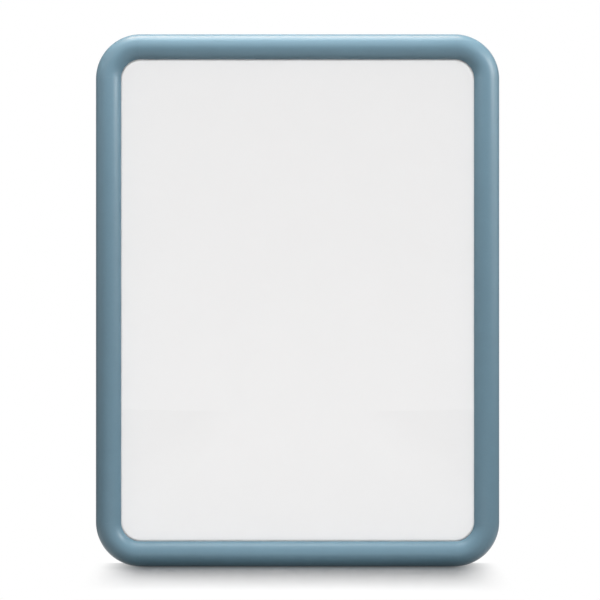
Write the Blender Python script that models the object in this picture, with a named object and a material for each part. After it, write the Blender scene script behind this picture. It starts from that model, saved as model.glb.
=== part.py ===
"""Enclosed corkboard: a shallow wall case behind a hinged, glazed door in a half-round frame.

World frame: the origin is the centre of the wall plane, +Z is up and the door faces -Y.
Sections are drawn in two coordinates: u runs inward from the door's outline, v forward from the wall.
"""

from math import asin, cos, pi, radians, sin, sqrt

import bmesh
import bpy
from mathutils import Matrix, Vector
from mathutils.geometry import tessellate_polygon

MM = 0.001

# Whole board, read from the photograph
DOOR_WIDTH = 483 * MM
DOOR_HEIGHT = 637.2 * MM
CORNER_RADIUS = 53.5 * MM
FRAME_FACE = 30.5 * MM
CASE_DEPTH = 24 * MM
DOOR_DEPTH = 19.5 * MM

# Clearances
SEAT_GAP = 0.3 * MM
OVERRUN = 2 * MM

# Half-round door frame
DOOR_WALL = 1.8 * MM
SIDE_FLAT = 3.5 * MM
BACK_EDGE_RADIUS = 1.2 * MM
LIP_EDGE = 2 * MM
REBATE_WIDTH = 8 * MM
GROOVE_DEPTH = 1.2 * MM
GROOVE_WIDTH = 1.2 * MM
GROOVE_SETBACK = 1 * MM
GROOVE_WEB = 1.5 * MM
DOOR_TONGUE = 24 * MM

# Coring of the moulded door corners
POCKET_START = radians(7)
POCKET_END = radians(42)

# Glazing and what holds it
GLAZING_THICKNESS = 3 * MM
GASKET_THICKNESS = 0.8 * MM
EDGE_PLAY = 0.6 * MM
BEAD_FACE = 6.8 * MM
BEAD_THICKNESS = 2.8 * MM
BEAD_NOSE = 2 * MM

# Case section
CASE_WALL = 1.6 * MM
CHAMBER_WIDTH = 3.7 * MM
FLANGE_WIDTH = 11 * MM
LEDGE_WIDTH = 5 * MM
LEDGE_THICKNESS = 1.4 * MM
CASE_CHAMFER = 0.6 * MM
CASE_TONGUE = 20 * MM

# Tack panel, back to front
BACKING_THICKNESS = 2 * MM
CORE_THICKNESS = 5.2 * MM
CORK_THICKNESS = 6 * MM
FACING_THICKNESS = 1 * MM

# Piano hinge
HINGE_END = 11.1 * MM
KNUCKLE_RADIUS = 2.6 * MM
LEAF_THICKNESS = 0.9 * MM
LEAF_WIDTH = 13 * MM
PIN_RADIUS = 1.3 * MM
PIN_DOME = 0.5 * MM
KNUCKLE_COVER = 0.2 * MM
KNUCKLE_LENGTH = 24.2 * MM
CURL = radians(290)

# Cam lock in the right side of the case
LOCK_SETBACK = 10.6 * MM
LOCK_LENGTH = 12.4 * MM
LOCK_RADIUS = 5 * MM
LOCK_HEAD_RADIUS = 7 * MM
LOCK_HEAD = 2 * MM
LOCK_HEAD_EDGE = 0.6 * MM
PLUG_RADIUS = 3.6 * MM
PLUG_SQUARE = 4 * MM
PLUG_RECESS = 0.4 * MM
KEYWAY_WIDTH = 1.4 * MM
KEYWAY_HEIGHT = 5 * MM
KEYWAY_DEPTH = 8 * MM
NUT_FLATS = 12.6 * MM
NUT_THICKNESS = 3 * MM
CAM_THICKNESS = 1.5 * MM
CAM_REACH = 13 * MM
CAM_WIDTH = 7 * MM
CAM_HUB_RADIUS = 5 * MM
CAM_SCREW_RADIUS = 3.4 * MM
CAM_SCREW_HEAD = 1.8 * MM
CAM_SCREW_TOP_SHARE = 0.7
CAM_SHOULDER = radians(50)

# Strike on the door, which the cam catches
STRIKE_THICKNESS = 1 * MM
STRIKE_LOW = 6.2 * MM
STRIKE_TAB_HEIGHT = 6 * MM
STRIKE_BASE_HEIGHT = 22 * MM
STRIKE_BASE_WIDTH = 9 * MM
STRIKE_CLEARANCE = 0.8 * MM
STRIKE_TAB_PLAY = 0.4 * MM
STRIKE_SCREW_RADIUS = 1.7 * MM
STRIKE_HOLE_SHARES = (0.5, 0.85)
LOCK_POCKET_BELOW = 11 * MM
LOCK_POCKET_ABOVE = 17 * MM
LOCK_POCKET_PLAY = 1.3 * MM
LEDGE_STUB = 0.5 * MM

# Keyhole hanger plates in the back
HANGER_WIDTH = 46 * MM
HANGER_HEIGHT = 26 * MM
HANGER_THICKNESS = 1.2 * MM
HANGER_CORNER = 3 * MM
HANGER_EDGE = 91.5 * MM
HANGER_DROP = 62 * MM
KEYHOLE_RADIUS = 4.6 * MM
KEYHOLE_SLOT = 4.6 * MM
KEYHOLE_RUN = 9 * MM
HANGER_POCKET_MARGIN = 3 * MM

# Door bumpers on the front edge of the case
BUMPER_RADIUS = 2.8 * MM
BUMPER_INSET = 30 * MM

# Facets
CORNER_STEPS = 12
POCKET_STEPS = 5
PROFILE_STEPS = 8
FILLET_STEPS = 4
CURL_STEPS = 15
ROUND_STEPS = 24
SMALL_ROUND_STEPS = 16
PLATE_STEPS = 8
SMOOTH_ANGLE = radians(30)

# Levels across the depth that several pieces share, and places across the width
DOOR_BACK = CASE_DEPTH + SEAT_GAP + LEAF_THICKNESS + SEAT_GAP
AXIS_V = DOOR_BACK - SEAT_GAP - KNUCKLE_RADIUS
AXIS_U = KNUCKLE_COVER + KNUCKLE_RADIUS
CASE_U = AXIS_U + KNUCKLE_RADIUS + SEAT_GAP
CASE_WEB = CASE_WALL + CHAMBER_WIDTH + CASE_WALL
TACK_U = CASE_U + CASE_WEB + SEAT_GAP
BACKING_V = CASE_WALL + SEAT_GAP
CORE_V = BACKING_V + BACKING_THICKNESS + SEAT_GAP
CORK_V = CORE_V + CORE_THICKNESS + SEAT_GAP
FACING_V = CORK_V + CORK_THICKNESS + SEAT_GAP
LEDGE_V = FACING_V + FACING_THICKNESS + SEAT_GAP
CREST_V = DOOR_BACK + DOOR_DEPTH
SPRING_V = DOOR_BACK + SIDE_FLAT
REBATE_U = FRAME_FACE - REBATE_WIDTH
GLAZING_V = DOOR_BACK + SEAT_GAP + BEAD_THICKNESS + SEAT_GAP
GASKET_V = GLAZING_V + GLAZING_THICKNESS + SEAT_GAP
LIP_BACK = GASKET_V + GASKET_THICKNESS + SEAT_GAP
CREST_U = FRAME_FACE / 2
INNER_FALL = CREST_V - LIP_BACK - LIP_EDGE
INNER_RADIUS = (CREST_U**2 + INNER_FALL**2) / (2 * INNER_FALL)
INNER_CENTRE_V = CREST_V - INNER_RADIUS
INNER_TILT = asin(CREST_U / INNER_RADIUS)
GLAZING_U = REBATE_U + EDGE_PLAY
DOOR_STRAIGHT_X = DOOR_WIDTH - 2 * CORNER_RADIUS
DOOR_STRAIGHT_Z = DOOR_HEIGHT - 2 * CORNER_RADIUS
HINGE_LENGTH = DOOR_STRAIGHT_Z - 2 * HINGE_END
KNUCKLES = 2 * int(HINGE_LENGTH / KNUCKLE_LENGTH / 2) + 1
CAM_U = CASE_U + LOCK_LENGTH + SEAT_GAP
STRIKE_ARM_U = CAM_U + CAM_THICKNESS + STRIKE_CLEARANCE
POCKET_U = STRIKE_ARM_U + STRIKE_THICKNESS + LOCK_POCKET_PLAY


def clear_scene():
    """Empties the scene that the script is run in."""
    for obj in list(bpy.data.objects):
        bpy.data.objects.remove(obj, do_unlink=True)


def principled(name, colour, roughness, metallic=0.0, transmission=0.0):
    """A plain Principled material."""
    material = bpy.data.materials.new(name)
    material.use_nodes = True
    shader = material.node_tree.nodes["Principled BSDF"]
    shader.inputs["Base Color"].default_value = (*colour, 1.0)
    shader.inputs["Roughness"].default_value = roughness
    shader.inputs["Metallic"].default_value = metallic
    shader.inputs["Transmission Weight"].default_value = transmission
    material.diffuse_color = (*colour, 1.0)
    return material


def make_materials():
    """The finishes, by name."""
    return {
        "frame": principled("dusty_blue_coating", (0.14, 0.26, 0.33), 0.35),
        "case": principled("case_coating", (0.13, 0.24, 0.31), 0.45),
        "backing": principled("pressed_hardboard", (0.23, 0.13, 0.07), 0.8),
        "core": principled("grey_fibreboard", (0.42, 0.40, 0.36), 0.95),
        "cork": principled("natural_cork", (0.46, 0.28, 0.14), 0.9),
        "facing": principled("pale_grey_vinyl", (0.84, 0.84, 0.855), 0.7),
        "acrylic": principled("clear_acrylic", (1.0, 1.0, 1.0), 0.03, transmission=1.0),
        "seal": principled("clear_grey_tape", (0.5, 0.51, 0.52), 0.7),
        "bead": principled("blue_vinyl_bead", (0.12, 0.22, 0.28), 0.5),
        "steel": principled("zinc_steel", (0.62, 0.62, 0.6), 0.35, 1.0),
        "lock": principled("nickel_plate", (0.7, 0.68, 0.64), 0.25, 1.0),
        "rubber": principled("grey_rubber", (0.2, 0.2, 0.2), 0.8),
    }


def arc(centre, radii, start, end, steps):
    """Points on an elliptical arc in a section, both ends included."""
    points = []
    for k in range(steps + 1):
        angle = start + (end - start) * k / steps
        points.append((centre[0] + radii[0] * cos(angle), centre[1] + radii[1] * sin(angle)))
    return points


def circle_loop(radius, steps):
    """Points round a circle about the origin, the first not repeated."""
    last = 2 * pi * (steps - 1) / steps
    return arc((0, 0), (radius, radius), 0, last, steps - 1)


def box_loop(low, high):
    """A rectangle as a loop of four points."""
    return [(low[0], low[1]), (high[0], low[1]), (high[0], high[1]), (low[0], high[1])]


def rounded_loop(half_x, half_z, radius, steps=PLATE_STEPS):
    """A rectangle with round corners about the origin."""
    loop = []
    for quarter, (sx, sz) in enumerate(((1, 1), (-1, 1), (-1, -1), (1, -1))):
        centre = (sx * (half_x - radius), sz * (half_z - radius))
        start = quarter * pi / 2
        loop += arc(centre, (radius, radius), start, start + pi / 2, steps)
    return loop


def inset_loop(u):
    """The board's outline drawn in by u, with corners concentric to the door's."""
    return rounded_loop(DOOR_WIDTH / 2 - u, DOOR_HEIGHT / 2 - u, CORNER_RADIUS - u)


def add_ring(bm, points):
    """One closed ring of vertices."""
    return [bm.verts.new(p) for p in points]


def add_wall(bm, first, second):
    """Quads between two rings of as many vertices."""
    count = len(first)
    for k in range(count):
        after = (k + 1) % count
        bm.faces.new((first[k], first[after], second[after], second[k]))


def add_cap(bm, rings):
    """A flat end face: the first ring is its outline and the others are holes in it."""
    vertices = [v for ring in rings for v in ring]
    loops = [[v.co / MM for v in ring] for ring in rings]
    for triangle in tessellate_polygon(loops):
        bm.faces.new([vertices[k] for k in triangle])


def finish_mesh(name, bm, smooth=False):
    """Turns the faces outward and stores the mesh."""
    bmesh.ops.recalc_face_normals(bm, faces=bm.faces)
    mesh = bpy.data.meshes.new(name)
    bm.to_mesh(mesh)
    bm.free()
    if smooth:
        mesh.shade_smooth()
        mesh.set_sharp_from_angle(angle=SMOOTH_ANGLE)
    return mesh


def swept_mesh(name, loops, stations, smooth=False):
    """A section's loops carried through stations, functions from (u, v) to a place, and capped."""
    bm = bmesh.new()
    rings = [[add_ring(bm, [place(u, v) for u, v in loop]) for loop in loops] for place in stations]
    for here, there in zip(rings, rings[1:]):
        for first, second in zip(here, there):
            add_wall(bm, first, second)
    add_cap(bm, rings[0])
    add_cap(bm, rings[-1])
    return finish_mesh(name, bm, smooth)


def plate_mesh(name, loops, back, front):
    """A flat plate parallel to the wall, from its loops in x and z."""
    stations = [lambda x, z: (x, -back, z), lambda x, z: (x, -front, z)]
    return swept_mesh(name, loops, stations)


def turned_mesh(name, profile, steps=ROUND_STEPS, closed=False):
    """A profile of (radius, height) points turned about Z; closed joins its last point to its first."""
    bm = bmesh.new()
    rings = []
    for radius, height in profile:
        if radius == 0:
            rings.append(add_ring(bm, [(0, 0, height)]))
            continue
        angles = [2 * pi * k / steps for k in range(steps)]
        rings.append(add_ring(bm, [(radius * cos(a), radius * sin(a), height) for a in angles]))
    pairs = list(zip(rings, rings[1:]))
    if closed:
        pairs.append((rings[-1], rings[0]))
    for first, second in pairs:
        if len(first) == len(second):
            add_wall(bm, first, second)
            continue
        tip, rim = (first, second) if len(first) == 1 else (second, first)
        for k in range(steps):
            bm.faces.new((tip[0], rim[k], rim[(k + 1) % steps]))
    return finish_mesh(name, bm, smooth=True)


def add_object(name, mesh, material, location=(0, 0, 0), turn=0.0, parent=None):
    """Places a mesh, turned about Y, on the board or on a moving empty."""
    obj = bpy.data.objects.new(name, mesh)
    bpy.context.scene.collection.objects.link(obj)
    place = Vector(location)
    if parent is not None:
        obj.parent = parent
        place -= parent.location
    obj.location = place
    obj.rotation_euler = (0, turn, 0)
    if material is not None and not mesh.materials:
        mesh.materials.append(material)
    return obj


def add_axis(name, location):
    """An empty on a joint's axis, which carries the pieces that turn with it."""
    empty = bpy.data.objects.new(name, None)
    bpy.context.scene.collection.objects.link(empty)
    empty.location = location
    return empty


def cut(obj, name, mesh, location=(0, 0, 0), turn=0.0):
    """Cuts a mesh out of an object with a Boolean that stays live."""
    cutter = add_object(name, mesh, None, location, turn)
    cutter.hide_render = True
    cutter.display_type = "WIRE"
    modifier = obj.modifiers.new(name, "BOOLEAN")
    modifier.operation = "DIFFERENCE"
    modifier.object = cutter
    modifier.solver = "EXACT"


def block_mesh(name, low, high):
    """A box between two corners."""
    loop = box_loop((low[0], low[2]), (high[0], high[2]))
    return plate_mesh(name, [loop], -low[1], -high[1])


SIDES = ("top", "right", "bottom", "left")
CORNERS = ("top_right", "bottom_right", "bottom_left", "top_left")


def side_place(side):
    """Where a side's outer edge is centred, how far it is turned, and its straight length."""
    quarter = SIDES.index(side)
    turn = quarter * pi / 2
    upright = quarter % 2 == 1
    reach = DOOR_WIDTH / 2 if upright else DOOR_HEIGHT / 2
    length = DOOR_STRAIGHT_Z if upright else DOOR_STRAIGHT_X
    return (reach * sin(turn), 0, reach * cos(turn)), turn, length


def corner_place(corner):
    """Where a corner's arc is centred and how far it is turned."""
    turn = CORNERS.index(corner) * pi / 2
    sx = 1 if corner.endswith("right") else -1
    sz = 1 if corner.startswith("top") else -1
    return (sx * DOOR_STRAIGHT_X / 2, 0, sz * DOOR_STRAIGHT_Z / 2), turn


def along(s):
    """The station at s along a side: u runs down from the side's outer edge."""
    return lambda u, v: (s, -v, -u)


def around(angle):
    """The station at an angle round a corner, from its upper end to its outer end."""
    return lambda u, v: ((CORNER_RADIUS - u) * sin(angle), -v, (CORNER_RADIUS - u) * cos(angle))


def rail_mesh(name, loops, length):
    """A straight extrusion, a seating gap short of the corner at each end."""
    half = length / 2 - SEAT_GAP
    return swept_mesh(name, loops, [along(-half), along(half)], smooth=True)


def corner_mesh(name, outline, tongue, reach):
    """A moulded corner: the section carried round the arc, with a tongue out of each end."""
    bm = bmesh.new()
    angles = [pi / 2 * k / CORNER_STEPS for k in range(CORNER_STEPS + 1)]
    rings = [add_ring(bm, [around(a)(u, v) for u, v in outline]) for a in angles]
    for first, second in zip(rings, rings[1:]):
        add_wall(bm, first, second)

    roots = (
        lambda u, v, s: (-s, -v, CORNER_RADIUS - u),
        lambda u, v, s: (CORNER_RADIUS - u, -v, -s),
    )
    for ring, place in zip((rings[0], rings[-1]), roots):
        root = add_ring(bm, [place(u, v, 0) for u, v in tongue])
        tip = add_ring(bm, [place(u, v, reach) for u, v in tongue])
        add_cap(bm, [ring, root])
        add_wall(bm, root, tip)
        add_cap(bm, [tip])
    return finish_mesh(name, bm, smooth=True)


def frame_front(inset):
    """The half-round front, drawn in by inset: up the outer side, over the crest, down the inner side."""
    radii = (CREST_U - inset, CREST_V - SPRING_V - inset)
    outer = arc((CREST_U, SPRING_V), radii, pi, pi / 2, PROFILE_STEPS)
    radius = INNER_RADIUS - inset
    end = INNER_TILT
    if inset:
        end = asin(sqrt(radius**2 - (LIP_BACK + inset - INNER_CENTRE_V) ** 2) / radius)
    inner = arc((CREST_U, INNER_CENTRE_V), (radius, radius), pi / 2, pi / 2 - end, PROFILE_STEPS)
    return outer + inner[1:]


def door_outline():
    """The door frame's outer boundary, with the rebate for the glazing and the groove for its bead."""
    groove_low = DOOR_BACK + GROOVE_SETBACK
    groove_u = REBATE_U - GROOVE_DEPTH
    edge_centre = (BACK_EDGE_RADIUS, DOOR_BACK + BACK_EDGE_RADIUS)
    edge_radii = (BACK_EDGE_RADIUS, BACK_EDGE_RADIUS)
    back_edge = arc(edge_centre, edge_radii, -pi / 2, -pi, FILLET_STEPS)
    rebate = [
        (FRAME_FACE, LIP_BACK),
        (REBATE_U, LIP_BACK),
        (REBATE_U, groove_low + GROOVE_WIDTH),
        (groove_u, groove_low + GROOVE_WIDTH),
        (groove_u, groove_low),
        (REBATE_U, groove_low),
        (REBATE_U, DOOR_BACK),
    ]
    return back_edge + frame_front(0) + rebate


def door_hollow(wall, back):
    """The hollow inside the frame, a wall in from the front and down to the level back."""
    web = REBATE_U - GROOVE_DEPTH - GROOVE_WEB - (wall - DOOR_WALL)
    shelf = LIP_BACK + wall
    return [(wall, back)] + frame_front(wall) + [(web, shelf), (web, back)]


def case_outline():
    """The case section: hollow side, rear flange behind the panel and ledge before it."""
    inner = CASE_U + CASE_WEB
    return [
        (CASE_U + CASE_CHAMFER, 0),
        (inner + FLANGE_WIDTH, 0),
        (inner + FLANGE_WIDTH, CASE_WALL),
        (inner, CASE_WALL),
        (inner, LEDGE_V),
        (inner + LEDGE_WIDTH, LEDGE_V),
        (inner + LEDGE_WIDTH, LEDGE_V + LEDGE_THICKNESS),
        (inner, LEDGE_V + LEDGE_THICKNESS),
        (inner, CASE_DEPTH),
        (CASE_U + CASE_CHAMFER, CASE_DEPTH),
        (CASE_U, CASE_DEPTH - CASE_CHAMFER),
        (CASE_U, CASE_CHAMFER),
    ]


def case_chamber(play):
    """The chamber inside the case section, or a tongue that fits it with some play."""
    low = (CASE_U + CASE_WALL + play, CASE_WALL + play)
    high = (CASE_U + CASE_WALL + CHAMBER_WIDTH - play, CASE_DEPTH - CASE_WALL - play)
    return box_loop(low, high)


def make_frame_members(prefix, loops, tongue, reach, material, parent):
    """Four rails and four corners of one section."""
    made = {}
    meshes = {}
    for side in SIDES:
        place, turn, length = side_place(side)
        if length not in meshes:
            meshes[length] = rail_mesh(prefix + "_rail", loops, length)
        name = prefix + "_rail_" + side
        made[name] = add_object(name, meshes[length], material, place, turn, parent)

    mesh = corner_mesh(prefix + "_corner", loops[0], tongue, reach)
    for corner in CORNERS:
        place, turn = corner_place(corner)
        name = prefix + "_corner_" + corner
        made[name] = add_object(name, mesh, material, place, turn, parent)
    return made


def core_door_corners(made):
    """Two pockets open to the rear of each moulded corner, with a rib left between them."""
    section = [door_hollow(DOOR_WALL, DOOR_BACK - OVERRUN)]
    for corner in CORNERS:
        place, turn = corner_place(corner)
        spans = ((POCKET_START, POCKET_END), (pi / 2 - POCKET_END, pi / 2 - POCKET_START))
        for side, (start, end) in zip("ab", spans):
            angles = [start + (end - start) * k / POCKET_STEPS for k in range(POCKET_STEPS + 1)]
            name = "core_" + corner + "_" + side
            mesh = swept_mesh(name, section, [around(a) for a in angles])
            cut(made["door_corner_" + corner], name, mesh, place, turn)


def make_door(materials, axis):
    """Frame, glazing, gasket, beads and strike, all carried by the hinge axis."""
    loops = [door_outline(), door_hollow(DOOR_WALL, DOOR_BACK + DOOR_WALL)]
    tongue = door_hollow(DOOR_WALL + SEAT_GAP, DOOR_BACK + DOOR_WALL + SEAT_GAP)
    made = make_frame_members("door", loops, tongue, DOOR_TONGUE, materials["frame"], axis)
    core_door_corners(made)

    glazing = plate_mesh(
        "glazing", [inset_loop(GLAZING_U)], GLAZING_V, GLAZING_V + GLAZING_THICKNESS
    )
    add_object("glazing", glazing, materials["acrylic"], parent=axis)

    ring = [inset_loop(GLAZING_U), inset_loop(FRAME_FACE - EDGE_PLAY)]
    gasket = plate_mesh("glazing_gasket", ring, GASKET_V, GASKET_V + GASKET_THICKNESS)
    add_object("glazing_gasket", gasket, materials["seal"], parent=axis)

    make_beads(materials["bead"], axis)
    make_strike(materials["steel"], axis)


def bead_loop():
    """A snap-in glazing bead, whose tongue sits in the frame's groove."""
    back = DOOR_BACK + SEAT_GAP
    front = GLAZING_V - SEAT_GAP
    foot = REBATE_U + SEAT_GAP
    edge = foot + BEAD_FACE
    low = DOOR_BACK + GROOVE_SETBACK + SEAT_GAP
    high = low + GROOVE_WIDTH - 2 * SEAT_GAP
    tip = REBATE_U - GROOVE_DEPTH + SEAT_GAP
    nose_centre = (edge - BEAD_NOSE, back + BEAD_NOSE)
    nose = arc(nose_centre, (BEAD_NOSE, BEAD_NOSE), -pi / 2, 0, FILLET_STEPS)
    head = [(edge, front), (foot, front)]
    tongue = [(foot, high), (tip, high), (tip, low), (foot, low)]
    return [(foot, back)] + nose + head + tongue


def make_beads(material, axis):
    """One bead behind each edge of the glazing, on the straight of the frame."""
    for side in SIDES:
        place, turn, length = side_place(side)
        mesh = rail_mesh("glazing_bead", [bead_loop()], length)
        add_object("glazing_bead_" + side, mesh, material, place, turn, axis)


def make_strike(material, axis):
    """A bent steel strike behind the right rail: its tab reaches behind the turned cam."""
    front = DOOR_BACK - SEAT_GAP
    base_back = front - STRIKE_THICKNESS
    arm = STRIKE_ARM_U + STRIKE_THICKNESS
    tab_front = LOCK_SETBACK - CAM_WIDTH / 2 - STRIKE_CLEARANCE
    tab_u = CAM_U + STRIKE_TAB_PLAY
    base_u = arm - STRIKE_BASE_WIDTH
    bent = [
        (base_u, front),
        (arm, front),
        (arm, tab_front - STRIKE_THICKNESS),
        (tab_u, tab_front - STRIKE_THICKNESS),
        (tab_u, tab_front),
        (STRIKE_ARM_U, tab_front),
        (STRIKE_ARM_U, base_back),
        (base_u, base_back),
    ]
    place, turn, _ = side_place("right")
    top = STRIKE_LOW + STRIKE_BASE_HEIGHT
    mesh = swept_mesh("strike_plate", [bent], [along(-top), along(-STRIKE_LOW)])
    strike = add_object("strike_plate", mesh, material, place, turn, axis)

    low = (-top - OVERRUN, -base_back, -arm - OVERRUN)
    high = (-STRIKE_LOW - STRIKE_TAB_HEIGHT, 0, -tab_u + OVERRUN)
    cut(strike, "strike_trim", block_mesh("strike_trim", low, high), place, turn)
    hole_u = base_u + (STRIKE_ARM_U - base_u) / 2
    for k, share in enumerate(STRIKE_HOLE_SHARES):
        profile = solid_profile(STRIKE_SCREW_RADIUS, 2 * OVERRUN)
        mesh = turned_mesh("strike_hole", profile, SMALL_ROUND_STEPS)
        mesh.transform(rotation_to_wall())
        height = STRIKE_LOW + STRIKE_BASE_HEIGHT * share
        centre = (DOOR_WIDTH / 2 - hole_u, -base_back + OVERRUN, height)
        cut(strike, "strike_hole_" + str(k), mesh, centre)


def solid_profile(radius, height):
    """A plain cylinder's profile, from the axis out and back."""
    return [(0, 0), (radius, 0), (radius, height), (0, height)]


def rotation_to_wall():
    """Turns +Z to -Y, so that a turned piece points out of the wall."""
    return Matrix.Rotation(pi / 2, 4, "X")


def make_case(materials):
    """The case's rails and corners, with the lock's hole and the room for its strike."""
    loops = [case_outline(), case_chamber(0)]
    made = make_frame_members(
        "case", loops, case_chamber(SEAT_GAP), CASE_TONGUE, materials["case"], None
    )
    rail = made["case_rail_right"]
    bore = solid_profile(LOCK_RADIUS + SEAT_GAP, CASE_WEB + 2 * OVERRUN)
    place = (DOOR_WIDTH / 2 - CASE_U + OVERRUN, -LOCK_SETBACK, 0)
    cut(rail, "lock_bore", turned_mesh("lock_bore", bore), place, -pi / 2)

    edge = DOOR_WIDTH / 2 - CASE_U - CASE_WEB - LEDGE_STUB
    low = (edge - LEDGE_WIDTH - OVERRUN, -LEDGE_V - LEDGE_THICKNESS - OVERRUN / 2, -LOCK_POCKET_BELOW)
    high = (edge, -LEDGE_V + OVERRUN / 2, LOCK_POCKET_ABOVE)
    cut(rail, "ledge_notch", block_mesh("ledge_notch", low, high))


def make_tack_panel(materials):
    """Backing, fibreboard core, cork and facing, held between the flange and the ledge."""
    layers = (
        ("back_panel", BACKING_V, BACKING_THICKNESS, "backing"),
        ("fibre_core", CORE_V, CORE_THICKNESS, "core"),
        ("cork_sheet", CORK_V, CORK_THICKNESS, "cork"),
        ("tack_facing", FACING_V, FACING_THICKNESS, "facing"),
    )
    for name, level, thickness, slot in layers:
        mesh = plate_mesh(name, [inset_loop(TACK_U)], level, level + thickness)
        layer = add_object(name, mesh, materials[slot])
        if name != "back_panel":
            low = (DOOR_WIDTH / 2 - POCKET_U, -level - thickness - OVERRUN, -LOCK_POCKET_BELOW)
            high = (DOOR_WIDTH / 2, -level + OVERRUN, LOCK_POCKET_ABOVE)
            cut(layer, name + "_notch", block_mesh(name + "_notch", low, high))
        if name in ("back_panel", "fibre_core"):
            cut_hanger_pockets(layer, name, level, thickness)


def hanger_places():
    """The centres of the two hanger plates, in x and z."""
    x = DOOR_WIDTH / 2 - HANGER_EDGE
    z = DOOR_HEIGHT / 2 - HANGER_DROP
    return {"left": (-x, z), "right": (x, z)}


def cut_hanger_pockets(layer, name, level, thickness):
    """Room behind each keyhole for the head of a wall screw."""
    half_x = KEYHOLE_RADIUS + HANGER_POCKET_MARGIN
    half_z = KEYHOLE_RUN / 2 + KEYHOLE_RADIUS + HANGER_POCKET_MARGIN
    for side, (x, z) in hanger_places().items():
        rim = rounded_loop(half_x, half_z, HANGER_POCKET_MARGIN, FILLET_STEPS)
        loop = [(x + a, z + b) for a, b in rim]
        title = name + "_pocket_" + side
        mesh = plate_mesh(title, [loop], level - OVERRUN, level + thickness + OVERRUN)
        cut(layer, title, mesh)


def keyhole_loop():
    """A round entry below a narrow slot, centred on the plate."""
    drop = -KEYHOLE_RUN / 2
    half = KEYHOLE_SLOT / 2
    rise = sqrt(KEYHOLE_RADIUS**2 - half**2)
    opening = asin(half / KEYHOLE_RADIUS)
    start, end = pi / 2 + opening, 5 * pi / 2 - opening
    entry = arc((0, drop), (KEYHOLE_RADIUS, KEYHOLE_RADIUS), start, end, 2 * PLATE_STEPS)
    crown = arc((0, drop + rise + KEYHOLE_RUN), (half, half), 0, pi, PLATE_STEPS)
    return entry + crown


def make_hangers(material):
    """Two keyhole plates on the back panel, sunk below the wall plane."""
    front = BACKING_V - SEAT_GAP
    for side, (x, z) in hanger_places().items():
        outline = rounded_loop(HANGER_WIDTH / 2, HANGER_HEIGHT / 2, HANGER_CORNER, FILLET_STEPS)
        name = "hanger_plate_" + side
        mesh = plate_mesh(name, [outline, keyhole_loop()], front - HANGER_THICKNESS, front)
        add_object(name, mesh, material, (x, 0, z))


def leaf_loop():
    """A leaf and its curl, about the hinge axis: the leaf lies along +p, its curl closes round the pin."""
    inner = KNUCKLE_RADIUS - LEAF_THICKNESS
    outside = arc((0, 0), (KNUCKLE_RADIUS, KNUCKLE_RADIUS), pi / 2, pi / 2 + CURL, CURL_STEPS)
    inside = arc((0, 0), (inner, inner), pi / 2 + CURL, pi / 2, CURL_STEPS)
    return [(LEAF_WIDTH, KNUCKLE_RADIUS)] + outside + inside + [(LEAF_WIDTH, inner)]


def leaf_mesh(name):
    """A leaf as long as the hinge, in the axis's own frame: p is +X and the roll's side is -Y."""
    half = HINGE_LENGTH / 2
    stations = [lambda p, q: (p, -q, -half), lambda p, q: (p, -q, half)]
    return swept_mesh(name, [leaf_loop()], stations, smooth=True)


def knuckle_gaps(name, first):
    """Room for the other leaf's knuckles: every second place along the pin, from the given one."""
    pitch = HINGE_LENGTH / KNUCKLES
    reach = KNUCKLE_RADIUS + 2 * SEAT_GAP
    bm = bmesh.new()
    for k in range(first, KNUCKLES, 2):
        low = -HINGE_LENGTH / 2 + k * pitch - SEAT_GAP / 2
        high = low + pitch + SEAT_GAP
        if k == 0:
            low -= OVERRUN
        if k == KNUCKLES - 1:
            high += OVERRUN
        loop = box_loop((-reach, -reach), (reach, reach))
        rings = [add_ring(bm, [(x, y, z) for x, y in loop]) for z in (low, high)]
        add_wall(bm, *rings)
        add_cap(bm, [rings[0]])
        add_cap(bm, [rings[1]])
    return finish_mesh(name, bm)


def make_hinge(material, axis):
    """A full-length piano hinge: case leaf, door leaf and the pin through their knuckles."""
    at = axis.location
    case_mesh = leaf_mesh("hinge_case_leaf")
    case_mesh.transform(Matrix.Rotation(pi / 2, 4, "Z"))
    case_leaf = add_object("hinge_case_leaf", case_mesh, material, at)
    cut(case_leaf, "case_leaf_gaps", knuckle_gaps("case_leaf_gaps", 1), at)

    door_leaf = add_object("hinge_door_leaf", leaf_mesh("hinge_door_leaf"), material, at, parent=axis)
    cut(door_leaf, "door_leaf_gaps", knuckle_gaps("door_leaf_gaps", 0), at)

    half = HINGE_LENGTH / 2
    profile = [
        (0, -half - PIN_DOME),
        (PIN_RADIUS - PIN_DOME, -half - PIN_DOME),
        (PIN_RADIUS, -half),
        (PIN_RADIUS, half),
        (PIN_RADIUS - PIN_DOME, half + PIN_DOME),
        (0, half + PIN_DOME),
    ]
    add_object("hinge_pin", turned_mesh("hinge_pin", profile, SMALL_ROUND_STEPS), material, at)


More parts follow.
